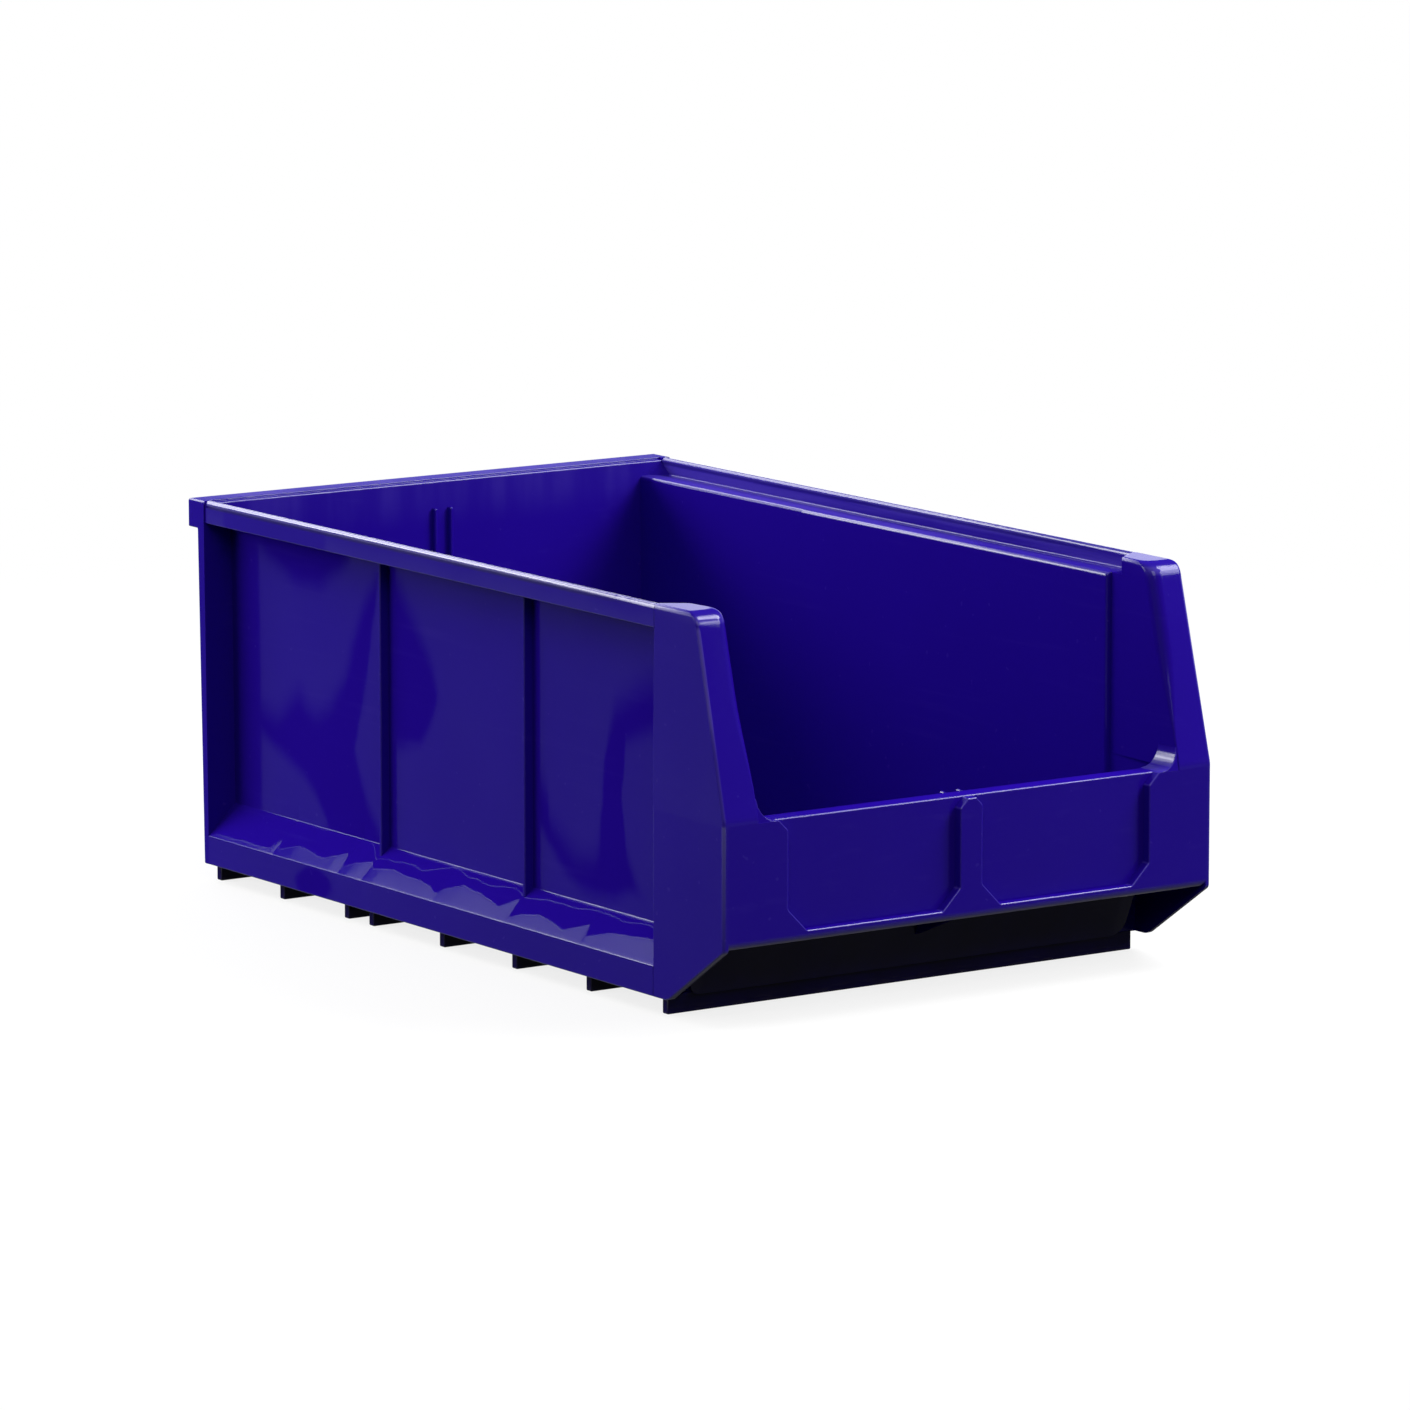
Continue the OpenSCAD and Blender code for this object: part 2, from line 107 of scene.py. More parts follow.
def shrink(outline, insets):  # every edge moves in by its own distance
    turn = 1 if area(outline) > 0 else -1
    moved = []
    for i, (u, v, radius) in enumerate(outline):
        here = Vector((u, v))
        before = Vector(outline[i - 1][:2])
        after = Vector(outline[(i + 1) % len(outline)][:2])
        a, b = (here - before).normalized(), (after - here).normalized()
        first = here + Vector((-a.y, a.x)) * turn * insets[i - 1]
        second = here + Vector((-b.y, b.x)) * turn * insets[i]
        bend = a.cross(b)
        place = (first + second) / 2
        if abs(bend) > rounding["straight"]:
            place = first + a * ((second - first).cross(b) / bend)
        if radius and bend * turn > 0:
            radius = max(radius - min(insets[i - 1], insets[i]), rounding["leastRadius"])
        elif radius:
            radius += max(insets[i - 1], insets[i])
        moved.append((place.x, place.y, radius))
    return moved


def roundOff(outline):  # corners with a radius become short arcs
    points = []
    for i, (u, v, radius) in enumerate(outline):
        here = Vector((u, v))
        if not radius:
            points.append((u, v))
            continue
        a = (Vector(outline[i - 1][:2]) - here).normalized()
        b = (Vector(outline[(i + 1) % len(outline)][:2]) - here).normalized()
        half = a.angle(b) / 2
        centre = here + (a + b).normalized() * (radius / math.sin(half))
        start = here + a * (radius / math.tan(half)) - centre
        end = here + b * (radius / math.tan(half)) - centre
        sweep = start.angle_signed(end)
        for step in range(arcSteps + 1):
            turned = start.copy()
            turned.rotate(Matrix.Rotation(-sweep * step / arcSteps, 2))
            points.append(tuple(centre + turned))
    return points


def edgeMarks(outline, insets=None, dim=None):  # 1 on a rounded edge, 0 where it runs out into the flats
    marks = []
    for i, (u, v, radius) in enumerate(outline):
        full = (dim or {}).get(i, 1)
        if insets and max(insets[i - 1], insets[i]) > rounding["leastInset"]:
            marks += [full] * (arcSteps + 1 if radius else 1)
        elif not radius:
            marks.append(0)
        elif radius > rounding["widestEdge"]:
            marks += [0] * (arcSteps + 1)
        else:
            ends = []
            for other in (outline[i - 1], outline[(i + 1) % len(outline)]):
                meets = math.dist((u, v), other[:2]) < radius + other[2] + rounding["meet"]
                ends.append(full if meets and other[2] <= rounding["widestEdge"] else 0)
            marks += [ends[0]] + [full] * (arcSteps - 1) + [ends[1]]
    return marks


def eased(radius, depth):  # how far a rounded edge stands back at this depth from its end face
    if depth >= radius:
        return 0
    return radius - math.sqrt(radius ** 2 - (radius - depth) ** 2)


def blend(value, start, end):  # 0 to 1 with soft ends
    share = min(max((value - start) / (end - start), 0), 1)
    return share * share * (3 - 2 * share)


def stand(axis, along, points):  # flat outline to places in the frame
    if axis == "x":
        return [(along, u, v) for u, v in points]
    if axis == "y":
        return [(u, along, v) for u, v in points]
    return [(u, v, along) for u, v in points]


def mirrored(half):  # half an outline and its mirror image
    return half + [(-u, *rest) for u, *rest in half[::-1]]


# a rounded edge that looks up mirrors the lamps, one that looks sideways or down hardly shows
edgeShine = {
    "up": 0.75, "sideways": 0.05, "down": 0.20, "upTurn": (0.05, 0.35), "downTurn": (0.0, 0.3), "level": 0.9,
}
weld = 0.000002  # corners closer than this become one
smoothAngle = 38  # degrees


def markEdges(piece, rings, marks, sideways, capShine):  # keeps each corner's share of the shine
    corners = [place for ring in rings for place in ring]
    edge = [mark for ring in marks for mark in ring]
    finder = KDTree(len(corners))
    for index, place in enumerate(corners):
        finder.insert(Vector(place) * mm, index)
    finder.balance()
    shine = []
    for corner in piece.data.vertices:
        rise = corner.normal.z
        looks = sideways + (edgeShine["up"] - sideways) * blend(rise, *edgeShine["upTurn"])
        looks += max(edgeShine["down"] - sideways, 0) * blend(-rise, *edgeShine["downTurn"])
        shine.append(edge[finder.find(corner.co)[1]] * looks)
    layer = piece.data.attributes.new("edgeGloss", "FLOAT", "CORNER")
    for face in piece.data.polygons:
        cap = capShine if face.normal.z > edgeShine["level"] else 0
        for index in face.loop_indices:
            corner = piece.data.loops[index].vertex_index
            layer.data[index].value = cap if len(face.vertices) > 4 else shine[corner]


# the first ring's face is extruded from ring to ring
def loft(name, rings, marks=None, sideways=edgeShine["sideways"], capShine=0):
    bpy.ops.object.select_all(action="DESELECT")
    bpy.ops.mesh.primitive_circle_add(vertices=len(rings[0]), radius=1, fill_type="NGON")
    piece = bpy.context.object
    piece.name = piece.data.name = name
    for corner, place in zip(piece.data.vertices, rings[0]):
        corner.co = Vector(place) * mm
    bpy.ops.object.mode_set(mode="EDIT")
    bpy.ops.mesh.select_all(action="SELECT")
    last = list(range(len(rings[0])))
    for ring in rings[1:]:
        bpy.ops.mesh.extrude_region_move()
        mesh = bmesh.from_edit_mesh(piece.data)
        mesh.verts.ensure_lookup_table()
        mesh.verts.index_update()
        nextRing = []
        for index in last:
            corner = mesh.verts[index]
            ends = [edge.other_vert(corner) for edge in corner.link_edges]
            nextRing.append([end.index for end in ends if end.select][0])
        for index, place in zip(nextRing, ring):
            mesh.verts[index].co = Vector(place) * mm
        bmesh.update_edit_mesh(piece.data)
        last = nextRing
    bpy.ops.mesh.select_all(action="SELECT")
    bpy.ops.mesh.remove_doubles(threshold=weld)
    bpy.ops.mesh.dissolve_degenerate(threshold=weld)
    bpy.ops.mesh.select_all(action="SELECT")
    bpy.ops.mesh.normals_make_consistent(inside=False)
    bpy.ops.object.mode_set(mode="OBJECT")
    markEdges(piece, rings, marks or [[0] * len(ring) for ring in rings], sideways, capShine)
    return piece


# one section drawn along an axis, each edge of its two ends rounded by its own ease
def bar(name, outline, axis, start, end, startEase=None, endEase=None, dim=None):
    none = [0] * len(outline)
    rings, marks = [], []
    for station, eases, inwards in ((start, startEase or none, 1), (end, endEase or none, -1)):
        depths = sorted({round(ease * turn, 4) for ease in eases for turn in arcTurns})
        ringsHere, marksHere = [], []
        for step, depth in enumerate(depths):
            insets = [eased(ease, depth) for ease in eases]
            along = station + depth * inwards * (1 if end > start else -1)
            ringsHere.append(stand(axis, along, roundOff(shrink(outline, insets))))
            if max(eases) and not step:
                marksHere.append([0] * len(ringsHere[0]))
            else:
                marksHere.append(edgeMarks(outline, insets, dim))
        rings += ringsHere[::inwards]
        marks += marksHere[::inwards]
    return loft(name, rings, marks)


def copyOf(piece, name, move=(0, 0, 0), mirror=False):
    bpy.ops.object.select_all(action="DESELECT")
    bpy.context.view_layer.objects.active = piece
    piece.select_set(True)
    bpy.ops.object.duplicate()
    double = bpy.context.object
    double.name = double.data.name = name
    bpy.ops.object.mode_set(mode="EDIT")
    bpy.ops.mesh.select_all(action="SELECT")
    bpy.ops.transform.translate(value=Vector(move) * mm)
    if mirror:
        bpy.ops.transform.resize(value=(-1, 1, 1), center_override=(0, 0, 0))
        bpy.ops.mesh.normals_make_consistent(inside=False)
    bpy.ops.object.mode_set(mode="OBJECT")
    return double


def finishPiece(piece, finish, *nodes):
    bpy.ops.object.select_all(action="DESELECT")
    bpy.context.view_layer.objects.active = piece
    piece.select_set(True)
    bpy.ops.object.shade_smooth_by_angle(angle=math.radians(smoothAngle))
    even = piece.modifiers.new("evenShading", "WEIGHTED_NORMAL")
    even.keep_sharp = True
    bpy.ops.object.modifier_apply(modifier=even.name)
    piece.data.materials.clear()
    piece.data.materials.append(finish)
    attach(piece, "root")
    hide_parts(*nodes)


def finishPair(piece, finish, *nodes):  # the right-hand piece and its mirrored copy
    other = copyOf(piece, piece.name.replace("right", "left"), mirror=True)
    finishPiece(piece, finish, *["right_" + node for node in nodes])
    finishPiece(other, finish, *["left_" + node for node in nodes])


class Wire:  # a shader socket that can be used like a number
    def __init__(self, tree, socket=None):
        self.tree = tree
        self.socket = socket

    def node(self, kind, settings=None, sockets=None, out=0):
        made = self.tree.nodes.new(kind)
        for key, value in (settings or {}).items():
            if key == "stops":
                while len(made.color_ramp.elements) < len(value):
                    made.color_ramp.elements.new(0.5)
                for element, (place, colour) in zip(made.color_ramp.elements, value):
                    element.position = place
                    element.color = (*colour, 1)
            else:
                setattr(made, key, value)
        for key, value in (sockets or {}).items():
            if isinstance(value, Wire):
                self.tree.links.new(value.socket, made.inputs[key])
            else:
                made.inputs[key].default_value = value
        return Wire(self.tree, made.outputs[out])

    def math(self, operation, a, b=0.0, clamp=False):
        return self.node("ShaderNodeMath", {"operation": operation, "use_clamp": clamp}, {0: a, 1: b})

    def __add__(self, other):
        return self.math("ADD", self, other)

    def __sub__(self, other):
        return self.math("SUBTRACT", self, other)

    def __rsub__(self, other):
        return self.math("SUBTRACT", other, self)

    def __mul__(self, other):
        return self.math("MULTIPLY", self, other)

    def __truediv__(self, other):
        return self.math("DIVIDE", self, other)

    __radd__ = __add__
    __rmul__ = __mul__


def smooth(w, value, start, end, first=0.0, last=1.0):
    sockets = {0: value, 1: start, 2: end, 3: first, 4: last}
    return w.node("ShaderNodeMapRange", {"interpolation_type": "SMOOTHSTEP"}, sockets)


def noise(w, place, scale, detail=2.0, out=0):
    return w.node("ShaderNodeTexNoise", {}, {"Vector": place, "Scale": scale, "Detail": detail}, out)


def stretched(w, place, scale):
    return w.node("ShaderNodeMapping", {}, {"Vector": place, "Scale": scale})


def coordinate(w, place, axis):
    return w.node("ShaderNodeSeparateXYZ", {}, {0: place}, "xyz".index(axis))


def vector(w, operation, sockets, out=0):
    return w.node("ShaderNodeVectorMath", {"operation": operation}, sockets, out)


def span(plane, start, end):  # two places beside a plane, in metres
    return (plane + start) * mm, (plane + end) * mm


def ramp(w, y, pairs, lowest, highest):  # a line along y through the given places
    first, last = min(pair[0] for pair in pairs), max(pair[0] for pair in pairs)
    stops = []
    for place, value in sorted(pairs):
        stops.append(((place - first) / (last - first), [(value - lowest) / (highest - lowest)] * 3))
    along = (y - first * mm) / ((last - first) * mm)
    return w.node("ShaderNodeValToRGB", {"stops": stops}, {0: along}) * (highest - lowest) + lowest


plastic = {
    "blue": (0.0150, 0.0028, 0.262), "deepBlue": (0.0122, 0.0022, 0.222), "paleBlue": (0.040, 0.022, 0.300),
    # paintedShade is the near-black colour of the painted shade under the hopper and on the runners
    "paleTint": (0.062, 0.038, 0.370), "scuff": (0.030, 0.024, 0.060), "paintedShade": (0.005, 0.004, 0.008),
    "roughness": 0.11, "roughnessSpread": 0.07, "cloudWave": 9.0, "smearWave": 38.0,
    "warpWave": 16.0, "warpDepth": 0.00018, "rippleWave": 110.0, "rippleDepth": 0.000010,
    "skinWave": 900.0, "skinDepth": 0.000003,
}
# share of the full plastic shine that the flats show
flatShine = {
    "plain": 0.05, "front": 0.07, "head": 0.13, "side": 0.105, "ledge": 0.5, "rim": 0.10, "shoulder": 0.055,
    "flowLine": 0.06, "patchWave": 21.0, "patchLeast": 0.8, "patchSpread": 0.4,
}

# the long sides went dull between two lines as they cooled, with clear patches inside: y, z in mm
dullUpper = [
    (213, 92), (207, 95), (201, 99), (189, 94), (179, 103), (167, 110), (158, 103), (148, 100), (136, 108),
    (122, 125), (113, 144), (103, 164), (89, 182), (80, 185), (70, 182), (58, 168), (47, 157), (36, 141),
    (30, 128), (20, 40), (-50, 40), (-62, 100), (-70, 94), (-73, 80), (-86, 70), (-99, 63), (-112, 66),
    (-117, 75), (-121, 110), (-124, 131), (-130, 146), (-163, 160),
]
dullLower = [
    (213, 90), (207, 86), (191, 77), (163, 66), (149, 58), (140, 45), (136, 30), (89, 30), (80, 60), (70, 95),
    (64, 95), (48, 100), (37, 114), (30, 128), (20, 60), (-50, 60), (-62, 75), (-73, 66), (-86, 55),
    (-99, 49), (-114, 46), (-130, 46), (-145, 50),
]
clearUpper = [
    (120, 70), (113, 87), (109, 100), (107, 108), (99, 128), (94, 154), (90, 170), (88, 178), (86, 60),
    (80, 30), (-130, 80), (-136, 100), (-140, 128), (-150, 132), (-163, 136),
]
clearLower = [
    (120, 100), (113, 87), (109, 78), (107, 72), (99, 60), (94, 55), (90, 50), (88, 50), (86, 170), (80, 190),
    (-130, 130), (-136, 100), (-140, 72), (-150, 55), (-163, 41),
]
dullHang = [(215, 200), (211, 184), (190, 177), (173, 168), (145, 168), (126, 179), (117, 187), (112, 200)]
dull = {
    "heights": (0, 205), "shakeWave": 26.0, "shake": 0.010, "lowSoft": 0.006, "highSoft": 0.012,
    "clearSoft": 0.008, "skirtMiddle": (0.127, 0.015), "skirtHalf": (0.019, 0.009), "skirtSoft": (0.6, 1.3),
}
# flow lines on the shoulder, as y, z in mm
flowLow = [
    (232, 26), (203, 26.2), (174, 26.5), (169, 32), (166, 27), (150, 31), (124, 29), (106, 33.5), (103, 27),
    (95, 31), (82, 33), (78, 30.5), (60, 32), (42, 31.2), (22, 30), (14, 27.5), (11, 30), (-3, 34), (-19, 33),
    (-42, 29.8), (-54, 35.5), (-56, 26.5), (-64, 29.6), (-78, 31), (-103, 28.2), (-121, 33), (-124, 27.5),
    (-138, 32), (-170, 34), (-189, 33),
]
flowHigh = [
    (232, 45), (105, 45), (81, 34.5), (71, 36), (54, 36.2), (37, 35.4), (15, 39.6), (8, 39.4), (-3, 38),
    (-26, 36.8), (-44, 38.8), (-56, 36), (-77, 38), (-98, 37.8), (-118, 38.8), (-128, 39), (-142, 37.8),
    (-163, 39), (-189, 38.5),
]
flowLine = {
    "heights": (24, 46), "swayWave": 70.0, "sway": 0.0022, "soft": 0.0004, "wide": (0.00032, 0.00022),
    "depth": (0.00005, 0.00003), "fromSkirt": (0.3, 1.2), "toPanel": (-1.2, -0.2), "proud": 0.4,
}
# the plastic sank over the runners' webs, less wide over the two that stand close together
sinkMarks = {
    "depth": 0.00030, "wide": 15.0, "closeWide": 9.0, "close": (5, 6), "crease": 1.2, "creaseLevel": 0.3,
    "onSkirt": (14, 30), "skirtShare": 0.25, "fade": 14,
}
rimWaves = {
    "from": 5, "below": 1, "wave": 150.0, "depth": 0.00011, "swell": 0.0012, "swellFrom": (-0.19, -0.10),
}
outerSkin = 0.6  # what lies this close to the wall's outer face, in mm, counts as outside


def dullPatches(w, place):  # 1 where the long side is dull
    shake = vector(w, "SUBTRACT", {0: noise(w, place, dull["shakeWave"], 2.0, out=1), 1: (0.5, 0.5, 0.5)})
    shake = vector(w, "SCALE", {0: shake, "Scale": dull["shake"]})
    shaken = vector(w, "ADD", {0: place, 1: shake})
    y, z = coordinate(w, shaken, "y"), coordinate(w, shaken, "z")

    def over(line, soft):
        return smooth(w, z - ramp(w, y, line, *dull["heights"]) * mm, -soft, soft)

    def under(line, soft):
        return smooth(w, ramp(w, y, line, *dull["heights"]) * mm - z, -soft, soft)

    clear = over(clearLower, dull["clearSoft"]) * under(clearUpper, dull["clearSoft"])
    patches = over(dullLower, dull["lowSoft"]) * under(dullUpper, dull["highSoft"]) * (1 - clear)
    patches = w.math("MAXIMUM", patches, over(dullHang, dull["clearSoft"]))
    blobY = (y - dull["skirtMiddle"][0]) / dull["skirtHalf"][0]
    blobZ = (z - dull["skirtMiddle"][1]) / dull["skirtHalf"][1]
    blob = smooth(w, blobY * blobY + blobZ * blobZ, *dull["skirtSoft"], 1.0, 0.0)
    return w.math("MAXIMUM", patches, blob)


def sinkHeight(w, y, z):
    stops = [(front, 1), (rear, 1)]
    crease, level = sinkMarks["crease"], sinkMarks["creaseLevel"]
    for number in webbedRunners:
        web = (low("runner_%d" % number, "y") + high("runner_%d" % number, "y")) / 2
        wide = sinkMarks["closeWide" if number in sinkMarks["close"] else "wide"]
        stops += [(web - wide, 1), (web - crease, level), (web, 0), (web + crease, level), (web + wide, 1)]
    lowFade = smooth(w, z, *span(0, *sinkMarks["onSkirt"]), sinkMarks["skirtShare"], 1.0)
    highFade = smooth(w, z, *span(shoulderTop, 0, sinkMarks["fade"]), 1.0, 0.0)
    return ramp(w, y, stops, 0, 1) * lowFade * sinkMarks["depth"] * highFade


def sideMarks(w, place):  # dull patches, flow lines, sink marks and the rim's waves
    x, y, z = [coordinate(w, place, axis) for axis in "xyz"]
    across = w.math("ABSOLUTE", x)
    outside = w.math("GREATER_THAN", across, (wallOut - outerSkin) * mm)
    onShoulder = (smooth(w, z, *span(skirtTop, *flowLine["fromSkirt"]))
                  * smooth(w, z, *span(shoulderTop, *flowLine["toPanel"]), 1.0, 0.0)
                  * w.math("GREATER_THAN", across, (wallOut + flowLine["proud"]) * mm))
    sway = noise(w, place, flowLine["swayWave"], 1.0) * flowLine["sway"] - flowLine["sway"] / 2
    lineLow = z - ramp(w, y, flowLow, *flowLine["heights"]) * mm + sway
    lineHigh = z - ramp(w, y, flowHigh, *flowLine["heights"]) * mm - sway
    patches = dullPatches(w, place) * (1 - onShoulder)
    patches = patches + onShoulder * smooth(w, lineLow, -flowLine["soft"], flowLine["soft"])
    height = sinkHeight(w, y, z) * outside
    lines = []
    for distance, wide, depth in zip((lineLow, lineHigh), flowLine["wide"], flowLine["depth"]):
        lines.append(w.math("EXPONENT", (distance / wide) * (distance / wide) * -1.0) * onShoulder)
        height = height - lines[-1] * depth
    onRim = smooth(w, z, (ledgeTop + rimWaves["from"]) * mm, (top - rimWaves["below"]) * mm)
    height = height + noise(w, place, rimWaves["wave"], 2.0) * onRim * rimWaves["depth"]
    height = height + smooth(w, y, *rimWaves["swellFrom"]) * onRim * rimWaves["swell"]
    shine = flatShine["side"] + onShoulder * (flatShine["shoulder"] - flatShine["side"])
    return (1 - patches * outside) * shine, w.math("MAXIMUM", lines[0], lines[1]), height


def tint(w, share, colour, over):  # one colour of the plastic laid over another
    sockets = {0: share, 6: colour, 7: (*plastic[over], 1)}
    return w.node("ShaderNodeMix", {"data_type": "RGBA"}, sockets, out=2)


streaks = {"stretch": (14, 3, 55), "wave": 3.0, "range": (0.58, 0.78), "share": 0.10}  # faint flow streaks
nibs = {"wave": 330.0, "range": (0.83, 0.87), "share": 0.35}  # dust nibs


def baseColour(w, place):
    colour = tint(w, noise(w, place, plastic["cloudWave"], 3.0), (*plastic["deepBlue"], 1), "blue")
    drawn = stretched(w, place, streaks["stretch"])
    flow = smooth(w, noise(w, drawn, streaks["wave"], 3.0), *streaks["range"], 0.0, streaks["share"])
    speck = smooth(w, noise(w, place, nibs["wave"], 0.0), *nibs["range"], 0.0, nibs["share"])
    return tint(w, w.math("MAXIMUM", flow, speck), colour, "paleBlue")


lipPale = {"stretch": (60, 10, 6), "rise": (176, 202), "range": (0.35, 0.7), "least": 0.25, "share": 0.6}


def paleUnderLip(w, place, colour):  # paler towards the top, in upright streaks, under the lip
    upright = noise(w, stretched(w, place, lipPale["stretch"]), 1.0, 3.0)
    pale = smooth(w, coordinate(w, place, "z"), *span(0, *lipPale["rise"]))
    pale = pale * smooth(w, upright, *lipPale["range"], lipPale["least"], 1.0)
    return tint(w, pale * lipPale["share"], colour, "paleBlue")


seat = {
    "rise": (-1.0, -0.2), "reach": (0.2, 0.9), "ledgeEnd": (0.2, 1.0), "bandRise": (-1.0, 0.0),
    "bandReach": (-1.7, -0.7), "stretch": (60, 5, 190), "range": (0.35, 0.65), "paleTint": (0.15, 0.75),
}


def paleSeatStreaks(w, place, colour):  # pale streaks along the ledge and the rim's inner face
    across, tall = w.math("ABSOLUTE", coordinate(w, place, "x")), coordinate(w, place, "z")
    onSeat = (smooth(w, tall, *span(ledgeTop, *seat["rise"]))
              * smooth(w, across, *span(rimIn, *seat["reach"]), 1.0, 0.0))
    onLedge = onSeat * smooth(w, tall, *span(ledgeTop, *seat["ledgeEnd"]), 1.0, 0.0)
    onBand = (smooth(w, tall, *span(ledgeLow, *seat["bandRise"]))
              * smooth(w, across, *span(rimOut, *seat["bandReach"])))
    along = noise(w, stretched(w, place, seat["stretch"]), 1.0, 3.0)
    paleTint = onSeat * smooth(w, along, *seat["range"], *seat["paleTint"])
    return tint(w, paleTint, colour, "paleTint"), onLedge * flatShine["ledge"] + onBand * flatShine["rim"]


# painted highlight on rounded edges: least and spread of the paler tint
edgeHighlightSpread = {"least": 0.7, "spread": 0.5}
# painted shade on the hopper's outer face below the apron
hopperShade = {"skin": (0.6, 1.6), "fade": (-4.0, 0.0), "least": 0.5, "spread": 0.4}


def paintHopperShade(w, place, colour, smear):  # painted shade: the sloping wall's outer face is painted darker below the apron, unevenly
    deep, tall = coordinate(w, place, "y"), coordinate(w, place, "z")
    outerFace = hopperAt(0) - hopperWall
    outside = smooth(w, deep + tall * hopperLean, *span(outerFace, *hopperShade["skin"]), 1.0, 0.0)
    shaded = outside * smooth(w, tall, *span(apron, *hopperShade["fade"]), 1.0, 0.0)
    return tint(w, shaded * (hopperShade["least"] + smear * hopperShade["spread"]), colour, "paintedShade")


runnerShadeAndScuff = {
    "least": 0.6, "spread": 0.35, "stretch": (20, 160, 160), "wave": 4.0, "range": (0.45, 0.65),
    "scuffRise": (0.5, 5.0), "scuff": 0.6,
}


def shadeAndScuffRunner(w, place, colour, smear):  # the runners are painted darker as shade, and scuffed where they stand and slide
    # painted shade over the whole runner, uneven with the smear
    colour = tint(w, runnerShadeAndScuff["least"] + smear * runnerShadeAndScuff["spread"], colour, "paintedShade")
    drag = noise(w, stretched(w, place, runnerShadeAndScuff["stretch"]), runnerShadeAndScuff["wave"], 4.0)
    scuffed = smooth(w, coordinate(w, place, "z"), *span(0, *runnerShadeAndScuff["scuffRise"]), 1.0, 0.0)
    scuffed = scuffed * smooth(w, drag, *runnerShadeAndScuff["range"])
    return tint(w, scuffed * runnerShadeAndScuff["scuff"], colour, "scuff")


def mouldedBlue(name, shine, longSide=False, rearSide=False, hopper=False, runnerFoot=False, edgeHighlight=0.0):
    material = bpy.data.materials.new(name)
    material.use_nodes = True
    tree = material.node_tree
    tree.nodes.remove(tree.nodes["Principled BSDF"])
    w = Wire(tree)
    place = w.node("ShaderNodeTexCoord", out=3)
    smear = noise(w, place, plastic["smearWave"], 4.0)
    edge = w.node("ShaderNodeAttribute", {"attribute_name": "edgeGloss"}, out=2)
    height = (noise(w, place, plastic["warpWave"], 1.0) * plastic["warpDepth"]
              + noise(w, place, plastic["rippleWave"], 1.0) * plastic["rippleDepth"]
              + noise(w, place, plastic["skinWave"], 1.0) * plastic["skinDepth"])
    flat = flatShine["patchLeast"] + noise(w, place, flatShine["patchWave"], 2.0) * flatShine["patchSpread"]
    colour = baseColour(w, place)
    if rearSide:
        colour = paleUnderLip(w, place, colour)
    if longSide:
        colour, film = paleSeatStreaks(w, place, colour)
        plain, lines, marks = sideMarks(w, place)
        height = height + marks
        flat = flat * plain + lines * flatShine["flowLine"] + film
    else:
        flat = flat * shine
    if edgeHighlight:  # painted highlight: rounded edges are painted paler, most on those that look up
        paleTint = w.math("MULTIPLY", edge, edgeHighlight, clamp=True) * (edgeHighlightSpread["least"] + smear * edgeHighlightSpread["spread"])
        colour = tint(w, paleTint, colour, "paleTint")
    # painted shade below the apron on the hopper's outer face
    if hopper:
        colour = paintHopperShade(w, place, colour, smear)
    # painted shade on the runners, with real scuffs near the ground
    if runnerFoot:
        colour = shadeAndScuffRunner(w, place, colour, smear)
    rough = plastic["roughness"] + (smear - 0.5) * plastic["roughnessSpread"]
    gloss = w.math("ADD", edge, (1 - edge) * flat, clamp=True)
    bump = w.node("ShaderNodeBump", {}, {"Strength": 1.0, "Distance": 1.0, "Height": height})
    skins = []
    for level in (0.0, 0.5):  # no shine and the full shine of plastic
        skins.append(w.node("ShaderNodeBsdfPrincipled", {}, {
            "Base Color": colour, "Roughness": rough, "Normal": bump, "Specular IOR Level": level}))
    mixed = w.node("ShaderNodeMixShader", {}, {0: gloss, 1: skins[0], 2: skins[1]})
    tree.links.new(mixed.socket, tree.nodes["Material Output"].inputs["Surface"])
    return material


bluePlastic = mouldedBlue("moulded_blue", flatShine["plain"])
frontPlastic = mouldedBlue("moulded_blue_front", flatShine["front"], hopper=True, edgeHighlight=0.5)
headPlastic = mouldedBlue("moulded_blue_head", flatShine["head"], edgeHighlight=0.9)
rearPlastic = mouldedBlue("moulded_blue_rear", flatShine["plain"], rearSide=True)
sidePlastic = mouldedBlue("moulded_blue_side", flatShine["side"], longSide=True)
ribPlastic = mouldedBlue("moulded_blue_rib", flatShine["side"])
footPlastic = mouldedBlue("moulded_blue_foot", flatShine["plain"], runnerFoot=True)
print("finishes ready")

# floor: the side mouldings carry a stub of it, and its front corners are cut off
floorPan = {"stub": 9.0, "corner": 4.0}
stubIn = wallIn - floorPan["stub"]
rings = []
for z in (foot, floorTop):
    nose, noseIn = hopperAt(z), bayIn - floorPan["corner"]
    half = [(noseIn, nose), (bayIn, nose + floorPan["corner"]), (bayIn, postRear), (stubIn, postRear),
            (stubIn, rearWallAt(z))]
    rings.append(stand("z", z, mirrored(half)))
finishPiece(loft("floor_tray", rings), bluePlastic, "floor_pan")

# side: wall, ledge, rim, shoulder and skirt in one section, drawn from front to rear
side = {
    "jog": 1.0, "jogHalf": 0.8, "frontEase": 1.5, "floorFillet": 4.0, "ledgeRound": 2.2, "ledgeInner": 0.9,
    "rimRound": 2.6, "rimInner": 2.2, "rimFoot": 0.8, "underRim": 2.5, "panelFoot": 0.6, "skirtTop": 0.7,
    "skirtFoot": 0.8, "skirtInner": 0.4, "crown": 0.105, "crownRound": 300,
    "rimShine": 1.3, "heelShine": 0.1, "ledgeShine": 1.0, "ledgeShineBehind": 0.5,
}
shoulderLow = high("runner_2", "z")
jogY = (low("runner_5", "y") + high("runner_5", "y")) / 2
tubIn = wallIn + side["jog"]
rimOuterCorner, rimInnerCorner, ledgeHeel, ledgeLip = 11, 12, 13, 14  # corners of the section
innerFace = ledgeLip  # the edge that starts there


